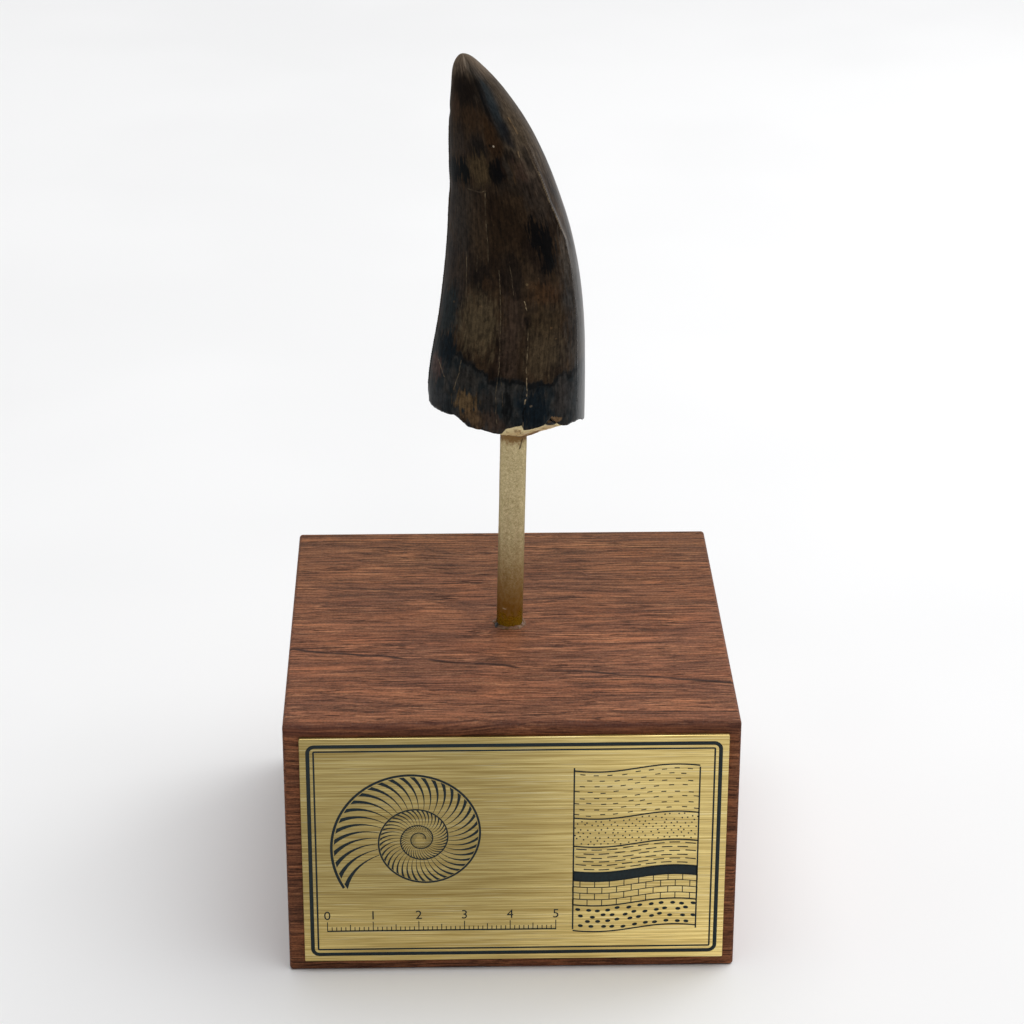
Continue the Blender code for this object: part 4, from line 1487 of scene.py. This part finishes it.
def makeInkPrism():
    # a flat drawing in XY becomes a closed slab that rises from 0 to Depth
    tree, taken, given = startTree("inkPrism", "GeometryNodeTree",
                                   (("Mesh", "Geometry", None), ("Depth", "Float", 0.0001)),
                                   (("Mesh", "Geometry"),))
    raised = addNode(tree, "GeometryNodeExtrudeMesh",
                     {"Mesh": taken["Mesh"], "Offset": arrowFrom(tree, z=1.0), "Offset Scale": taken["Depth"],
                      "Individual": False}, mode="FACES").outputs[0]
    floor = addNode(tree, "GeometryNodeFlipFaces", {"Mesh": taken["Mesh"]}).outputs[0]
    merged = addNode(tree, "GeometryNodeMergeByDistance",
                     {"Geometry": together(tree, floor, raised), "Distance": 0.000002})
    plug(tree, given["Mesh"], merged.outputs[0])
    return tree


inkPrism = makeInkPrism()
placeInputs = (("Depth", "Float", 0.0001), ("Place", "Vector", (0.0, 0.0, 0.0)), ("Finish", "Material", None))


def standOnPlate(tree, taken, given, drawn, solid=False):
    # turns a drawing from the XY plane to face -Y, gives it its depth and its place
    if not solid:
        prism = tree.nodes.new("GeometryNodeGroup")
        prism.node_tree = inkPrism
        tree.links.new(drawn, prism.inputs["Mesh"])
        tree.links.new(taken["Depth"], prism.inputs["Depth"])
        drawn = prism.outputs[0]
    moved = addNode(tree, "GeometryNodeTransform", {"Geometry": drawn, "Translation": taken["Place"]})
    moved.inputs["Rotation"].default_value = (math.radians(90.0), 0.0, 0.0)
    plug(tree, given["Geometry"], coated(tree, realized(tree, moved.outputs[0]), taken["Finish"]))


def makeBorderLine():
    tree, taken, given = startTree(
        "borderLine", "GeometryNodeTree",
        (("Width", "Float", 0.08), ("Height", "Float", 0.05), ("Corner", "Float", 0.001),
         ("Line", "Float", 0.0005)) + placeInputs,
        (("Geometry", "Geometry"),))
    frameCurve = addNode(tree, "GeometryNodeCurvePrimitiveQuadrilateral",
                         {"Width": taken["Width"], "Height": taken["Height"]}).outputs[0]
    rounded = addNode(tree, "GeometryNodeFilletCurve",
                      {"Curve": frameCurve, "Count": 8, "Radius": taken["Corner"]}, mode="POLY").outputs[0]
    profile = addNode(tree, "GeometryNodeCurvePrimitiveQuadrilateral",
                      {"Width": taken["Line"], "Height": taken["Depth"]}).outputs[0]
    ring = addNode(tree, "GeometryNodeCurveToMesh", {"Curve": rounded, "Profile Curve": profile}).outputs[0]
    half = arrowFrom(tree, z=times(tree, taken["Depth"], 0.5))
    lifted = addNode(tree, "GeometryNodeTransform", {"Geometry": ring, "Translation": half}).outputs[0]
    standOnPlate(tree, taken, given, lifted, solid=True)
    return tree


def makeCoiledShell():
    # ribs and outline are laid out flat, X for the turn and Y from the seam to the outer rim,
    # and then wound up into a spiral that grows by the same share every turn
    tree, taken, given = startTree(
        "coiledShell", "GeometryNodeTree",
        (("Radius", "Float", 0.017), ("Growth", "Float", 2.1), ("Turns", "Float", 3.5), ("Ribs", "Int", 120),
         ("Rib Width", "Float", 0.05), ("Lean", "Float", 0.25), ("Line", "Float", 0.0004)) + placeInputs,
        (("Geometry", "Geometry"),))
    rate = sums(tree, "DIVIDE", sums(tree, "LOGARITHM", taken["Growth"], math.e), math.tau)
    whole = times(tree, taken["Turns"], math.tau)

    def reachAt(turn):
        growth = sums(tree, "EXPONENT", times(tree, minus(tree, turn, whole), rate))
        return times(tree, taken["Radius"], growth)

    def wound(radius, turn):
        return arrowFrom(tree, times(tree, radius, sums(tree, "COSINE", turn)),
                         times(tree, radius, sums(tree, "SINE", turn)))

    # outline strip: X from -0.5 to 0.5 is the whole coil, Y its thickness
    spot = spotAxes(tree)
    turn = times(tree, plus(tree, spot[0], 0.5), whole)
    reach = reachAt(turn)
    heavy = plus(tree, times(tree, sums(tree, "DIVIDE", reach, taken["Radius"]), 0.7), 0.3)
    radius = plus(tree, reach, times(tree, times(tree, spot[1], taken["Line"]), heavy))
    outline = shifted(tree, unitGrid(tree, 420, 2), Position=wound(radius, turn))

    # one rib, thin at the seam and stout at the rim
    part = spotAxes(tree)
    up = plus(tree, part[1], 0.5)
    stout = plus(tree, times(tree, sums(tree, "POWER", up, 1.5), 0.8), 0.2)
    bow = times(tree, sums(tree, "POWER", up, 2.0), taken["Lean"])
    ribX = plus(tree, times(tree, times(tree, part[0], stout), taken["Rib Width"]), bow)
    ribY = plus(tree, times(tree, up, 0.92), 0.03)
    rib = shifted(tree, unitGrid(tree, 2, 9), Position=arrowFrom(tree, ribX, ribY))
    ends = arrowFrom(tree, minus(tree, whole, taken["Lean"]))
    row = addNode(tree, "GeometryNodeMeshLine", {"Count": taken["Ribs"], "Offset": ends},
                  mode="END_POINTS").outputs[0]
    ribs = realized(tree, scattered(tree, row, rib))
    here = spotAxes(tree)
    seam = sums(tree, "DIVIDE", 1.0, taken["Growth"])
    share = plus(tree, seam, times(tree, here[1], minus(tree, 1.0, seam)))
    ribs = shifted(tree, ribs, Position=wound(times(tree, reachAt(here[0]), share), here[0]))
    standOnPlate(tree, taken, given, together(tree, outline, ribs))
    return tree


def makeFoldedHatch():
    # rows of short marks over a panel, every row bent by the same slow wave
    tree, taken, given = startTree(
        "foldedHatch", "GeometryNodeTree",
        (("Width", "Float", 0.02), ("Columns", "Int", 10), ("Rows", "Int", 3), ("Step", "Float", 0.002),
         ("Gap", "Float", 0.001), ("Mark Length", "Float", 0.001), ("Mark Width", "Float", 0.0003),
         ("Bends", "Int", 2), ("Round", "Bool", False), ("Stagger", "Float", 0.5), ("Shake", "Float", 0.0),
         ("Wave", "Float", 0.001), ("Wave Length", "Float", 0.03), ("Seed", "Int", 0)) + placeInputs,
        (("Geometry", "Geometry"),))
    columns = minus(tree, taken["Columns"], 1.0)
    rows = minus(tree, taken["Rows"], 1.0)
    field = addNode(tree, "GeometryNodeMeshGrid",
                    {"Size X": times(tree, columns, taken["Step"]),
                     "Size Y": times(tree, rows, taken["Gap"]),
                     "Vertices X": taken["Columns"], "Vertices Y": taken["Rows"]}).outputs[0]
    rowPlace = plus(tree, spotAxes(tree)[1], times(tree, times(tree, rows, taken["Gap"]), 0.5))
    odd = sums(tree, "MODULO", sums(tree, "ROUND", sums(tree, "DIVIDE", rowPlace, taken["Gap"])), 2.0)
    slide = times(tree, times(tree, odd, taken["Stagger"]), taken["Step"])
    shake = addNode(tree, "FunctionNodeRandomValue",
                    {0: (-1.0, -1.0, 0.0), 1: (1.0, 1.0, 0.0), "Seed": taken["Seed"]},
                    data_type="FLOAT_VECTOR").outputs[0]
    shake = arrows(tree, "SCALE", shake, scale=taken["Shake"])
    field = shifted(tree, field, Offset=arrows(tree, "ADD", shake, arrowFrom(tree, slide)))
    limit = minus(tree, times(tree, taken["Width"], 0.5), times(tree, taken["Mark Length"], 0.5))
    outside = sums(tree, "GREATER_THAN", sums(tree, "ABSOLUTE", spotAxes(tree)[0]),
                   plus(tree, limit, 0.00002))
    field = addNode(tree, "GeometryNodeDeleteGeometry", {"Geometry": field, "Selection": outside},
                    domain="POINT").outputs[0]
    dot = addNode(tree, "GeometryNodeMeshCircle", {"Vertices": 12, "Radius": 0.5},
                  fill_type="NGON").outputs[0]
    mark = addNode(tree, "GeometryNodeSwitch",
                   {"Switch": taken["Round"], "False": unitGrid(tree, taken["Bends"], 2), "True": dot},
                   input_type="GEOMETRY").outputs[0]
    size = arrowFrom(tree, taken["Mark Length"], taken["Mark Width"], 1.0)
    marks = realized(tree, scattered(tree, field, mark, Scale=size))
    along = sums(tree, "DIVIDE", spotAxes(tree)[0], taken["Wave Length"])
    wave = times(tree, sums(tree, "SINE", times(tree, along, math.tau)), taken["Wave"])
    marks = shifted(tree, marks, Offset=arrowFrom(tree, y=wave))
    standOnPlate(tree, taken, given, marks)
    return tree


def makeScaleTicks():
    # a ruler: short ticks, longer at every fifth and tenth
    tree, taken, given = startTree(
        "scaleTicks", "GeometryNodeTree",
        (("Count", "Int", 51), ("Step", "Float", 0.001), ("Line", "Float", 0.0002), ("Short", "Float", 0.001),
         ("Middle", "Float", 0.0015), ("Long", "Float", 0.0022)) + placeInputs,
        (("Geometry", "Geometry"),))
    row = addNode(tree, "GeometryNodeMeshLine",
                  {"Count": taken["Count"], "Offset": arrowFrom(tree, taken["Step"])},
                  mode="OFFSET").outputs[0]
    index = addNode(tree, "GeometryNodeInputIndex").outputs[0]
    tall = taken["Short"]
    for every, length in ((5.0, "Middle"), (10.0, "Long")):
        marked = sums(tree, "LESS_THAN", sums(tree, "MODULO", index, every), 0.5)
        tall = addNode(tree, "ShaderNodeMix", {0: marked, 2: tall, 3: taken[length]},
                       data_type="FLOAT").outputs[0]
    tick = addNode(tree, "GeometryNodeTransform",
                   {"Geometry": unitGrid(tree, 2, 2), "Translation": (0.0, 0.5, 0.0)}).outputs[0]
    ticks = scattered(tree, row, tick, Scale=arrowFrom(tree, taken["Line"], tall, 1.0))
    standOnPlate(tree, taken, given, realized(tree, ticks))
    return tree


brushedBrass = makeBrass()
engravedInk = makeInk()
borderLine = makeBorderLine()
coiledShell = makeCoiledShell()
foldedHatch = makeFoldedHatch()
scaleTicks = makeScaleTicks()
drawingBack = plate["front"] + drawing["sunk"] - drawing["proud"]


def draw(name, tree, x, z, values):
    # sizes come in millimetres, counts and shares as they are
    plain = ("Columns", "Rows", "Ribs", "Rib Width", "Lean", "Growth", "Turns", "Bends", "Round", "Stagger",
             "Seed", "Count")
    piece = placed(name, bpy.data.meshes.new(name))
    scaled = {key: value if key in plain else value * mm for key, value in values.items()}
    scaled["Depth"] = drawing["sunk"] * mm
    scaled["Place"] = (x * mm, drawingBack * mm, z * mm)
    scaled["Finish"] = engravedInk
    addTree(piece, tree, scaled)
    return freeze(piece)


def makeNumber(text, x, z, size):
    letters = bpy.data.curves.new("number" + text, "FONT")
    letters.body = text
    letters.size = size * mm
    letters.align_x = "CENTER"
    letters.extrude = drawing["sunk"] / 2 * mm
    letters.resolution_u = 4
    words = placed("number" + text, letters)
    mesh = bpy.data.meshes.new_from_object(words.evaluated_get(bpy.context.evaluated_depsgraph_get()))
    bpy.data.objects.remove(words)
    bpy.data.curves.remove(letters)
    mesh.transform(Matrix.Translation((x * mm, (drawingBack - drawing["sunk"] / 2) * mm, z * mm))
                   @ Matrix.Rotation(math.radians(90.0), 4, "X"))
    mesh.materials.clear()
    mesh.materials.append(engravedInk)
    piece = placed("number" + text, mesh)
    return piece


# the drawing: a coiled shell, a column of folded rock layers, and a centimetre scale
shellDrawing = {"x": -20.0, "z": 33.6, "Radius": 20.5, "Growth": 2.15, "Turns": 3.6, "Ribs": 150,
                "Rib Width": 0.07, "Lean": 0.22, "Line": 0.62}
column = {
    "x": 26.8, "width": 27.0, "wave": 0.9, "waveLength": 34.0,
    "line": 0.34, "brickRow": 1.55, "brickLength": 3.2,
    # height of each layer's foot, from below
    "feet": (10.6, 17.2, 23.4, 25.6, 32.0, 39.0, 50.6),
}
ruler = {"x": -40.4, "z": 10.6, "Count": 51, "Step": 1.0, "Line": 0.2,
         "Short": 1.0, "Middle": 1.6, "Long": 2.3, "numberSize": 3.1}


def makePlate():
    parts = [makePlateSlab(brushedBrass)]
    middleX = plate["middle"]
    middleZ = plate["bottom"] + plate["height"] / 2
    outer = border["inset"] + border["thick"] / 2
    inner = border["inset"] + border["thick"] + border["gap"] + border["thin"] / 2
    for name, inset, corner, line in (("thickBorder", outer, border["corner"], border["thick"]),
                                      ("thinBorder", inner, 0.25, border["thin"])):
        parts.append(draw(name, borderLine, middleX, middleZ,
                          {"Width": plate["width"] - 2 * inset, "Height": plate["height"] - 2 * inset,
                           "Corner": corner, "Line": line}))
    parts.append(draw("coil", coiledShell, shellDrawing["x"], shellDrawing["z"],
                      {key: value for key, value in shellDrawing.items() if key not in ("x", "z")}))

    folded = {"Width": column["width"], "Wave": column["wave"], "Wave Length": column["waveLength"]}
    single = {"Columns": 1, "Rows": 1, "Gap": 1.0, "Stagger": 0.0}

    def hatch(name, x, z, length, width, **values):
        # marks of this length and width; the panel's fold holds unless the values change it
        values = {**folded, **values, "Mark Length": length, "Mark Width": width}
        parts.append(draw(name, foldedHatch, x, z, values))

    feet = column["feet"]
    whole = column["width"]
    line = column["line"]
    for index, foot in enumerate(feet):
        hatch("layerFoot%d" % index, column["x"], foot, whole, line, Bends=40, **single)
    layers = (
        ("pebbles", 1.15, 0.75, dict(Columns=13, Rows=4, Step=2.3, Gap=1.45, Shake=0.35, Round=True, Seed=4)),
        ("bricks", whole, 0.2, dict(single, Rows=3, Gap=column["brickRow"], Bends=40)),
        ("coal", whole, 2.0, dict(single, Bends=40)),
        ("shale", 2.3, 0.24, dict(Columns=9, Rows=6, Step=3.4, Gap=0.98, Shake=0.12, Bends=4, Seed=2)),
        ("sand", 0.36, 0.36, dict(Columns=19, Rows=7, Step=1.5, Gap=0.92, Shake=0.32, Round=True, Seed=7)),
        ("silt", 1.1, 0.22, dict(Columns=10, Rows=8, Step=2.9, Gap=1.38, Shake=0.25, Bends=3, Seed=9)),
    )
    for index, (name, length, width, values) in enumerate(layers):
        hatch(name, column["x"], (feet[index] + feet[index + 1]) / 2, length, width, **values)
    for row in range(4):
        # upright joints of the brick pattern
        hatch("joints%d" % row, column["x"] + (0.8 if row % 2 else -0.8),
              (feet[1] + feet[2]) / 2 + (row - 1.5) * column["brickRow"], 0.2, column["brickRow"],
              **dict(single, Columns=9, Step=column["brickLength"]))
    for side in (-1, 1):
        hatch("side%d" % side, column["x"] + side * (whole / 2), (feet[0] + feet[-1]) / 2,
              line, feet[-1] - feet[0] + line, Width=2.0, Wave=0.0, **single)

    parts.append(draw("ruler", scaleTicks, ruler["x"], ruler["z"],
                      {key: value for key, value in ruler.items() if key not in ("x", "z", "numberSize")}))
    hatch("rulerLine", ruler["x"] + 25.0, ruler["z"], 50.2, line, Width=52.0, Wave=0.0, **single)
    for number in range(6):
        parts.append(makeNumber(str(number), ruler["x"] + number * 10.0, ruler["z"] + 2.9,
                                ruler["numberSize"]))
    return joined("brassPlate", parts)


finishPiece(makePlate(), "plaque")


# floor, light and camera

def makeFloor():
    material, tree, shader, place = startMaterial("paleFloor")
    clouds = shade(tree, place, (140.0, 140.0, 140.0))
    colour = blend(tree, clouds, paint(240, 240, 240), paint(243, 243, 243))
    plug(tree, shader.inputs["Base Color"], colour)
    shader.inputs["Roughness"].default_value = 0.7
    shader.inputs["Specular IOR Level"].default_value = 0.1
    sides = 96
    points = [(4000.0 * math.cos(math.tau * index / sides), 4000.0 * math.sin(math.tau * index / sides), 0.0)
              for index in range(sides)]
    floor = pieceFromPoints("floor", points, [tuple(range(sides))], smooth=False)
    floor.data.materials.append(material)


sun = {"from": (0.25, 0.10, 1.0), "spread": 80.0, "strength": 2.25}
# in metres: place, what it points at, size; then watts
lamps = {
    "rightBack": ((0.60, 0.42, 0.40), (0.0, 0.0, 0.15), 0.5, 1.6),
}


def makeLamps():
    light = bpy.data.lights.new("softSky", "SUN")
    light.energy = sun["strength"]
    light.angle = math.radians(sun["spread"])
    lamp = placed("softSky", light)
    lamp.rotation_euler = Vector(sun["from"]).to_track_quat("Z", "Y").to_euler()
    for name, (place, target, size, watts) in lamps.items():
        light = bpy.data.lights.new(name, "AREA")
        light.shape = "SQUARE"
        light.size = size
        light.energy = watts
        lamp = placed(name, light)
        lamp.location = place
        lamp.rotation_euler = (Vector(target) - Vector(place)).to_track_quat("-Z", "Y").to_euler()


def makeWorld():
    # the walls of a pale tent: bright to the eye and to glossy things, dimmer as a light
    world = bpy.data.worlds.new("paleRoom")
    scene.world = world
    world.use_nodes = True
    tree = world.node_tree
    tree.nodes.clear()
    seen = addNode(tree, "ShaderNodeBackground", {"Color": (0.93, 0.93, 0.93, 1.0), "Strength": 1.0})
    mirrored = addNode(tree, "ShaderNodeBackground", {"Color": (0.95, 0.96, 0.97, 1.0), "Strength": 0.7})
    lit = addNode(tree, "ShaderNodeBackground", {"Color": (0.97, 0.98, 1.0, 1.0), "Strength": 0.28})
    ray = addNode(tree, "ShaderNodeLightPath")
    either = addNode(tree, "ShaderNodeMixShader", {0: ray.outputs["Is Glossy Ray"], 1: lit.outputs[0],
                                                   2: mirrored.outputs[0]})
    either = addNode(tree, "ShaderNodeMixShader", {0: ray.outputs["Is Camera Ray"], 1: either.outputs[0],
                                                   2: seen.outputs[0]})
    output = addNode(tree, "ShaderNodeOutputWorld", {"Surface": either.outputs[0]})
    output.is_active_output = True


view = {"place": (-15.045, -613.664, 365.608), "turn": (65.6985, -0.1156, -1.4566), "lens": 105.73}


def makeCamera():
    data = bpy.data.cameras.new("camera")
    data.lens = view["lens"]
    data.sensor_width = 36.0
    camera = placed("camera", data)
    camera.location = Vector(view["place"]) * mm
    camera.rotation_euler = [math.radians(value) for value in view["turn"]]
    scene.camera = camera


makeFloor()
makeLamps()
makeWorld()
makeCamera()
print("floor, light and camera set")
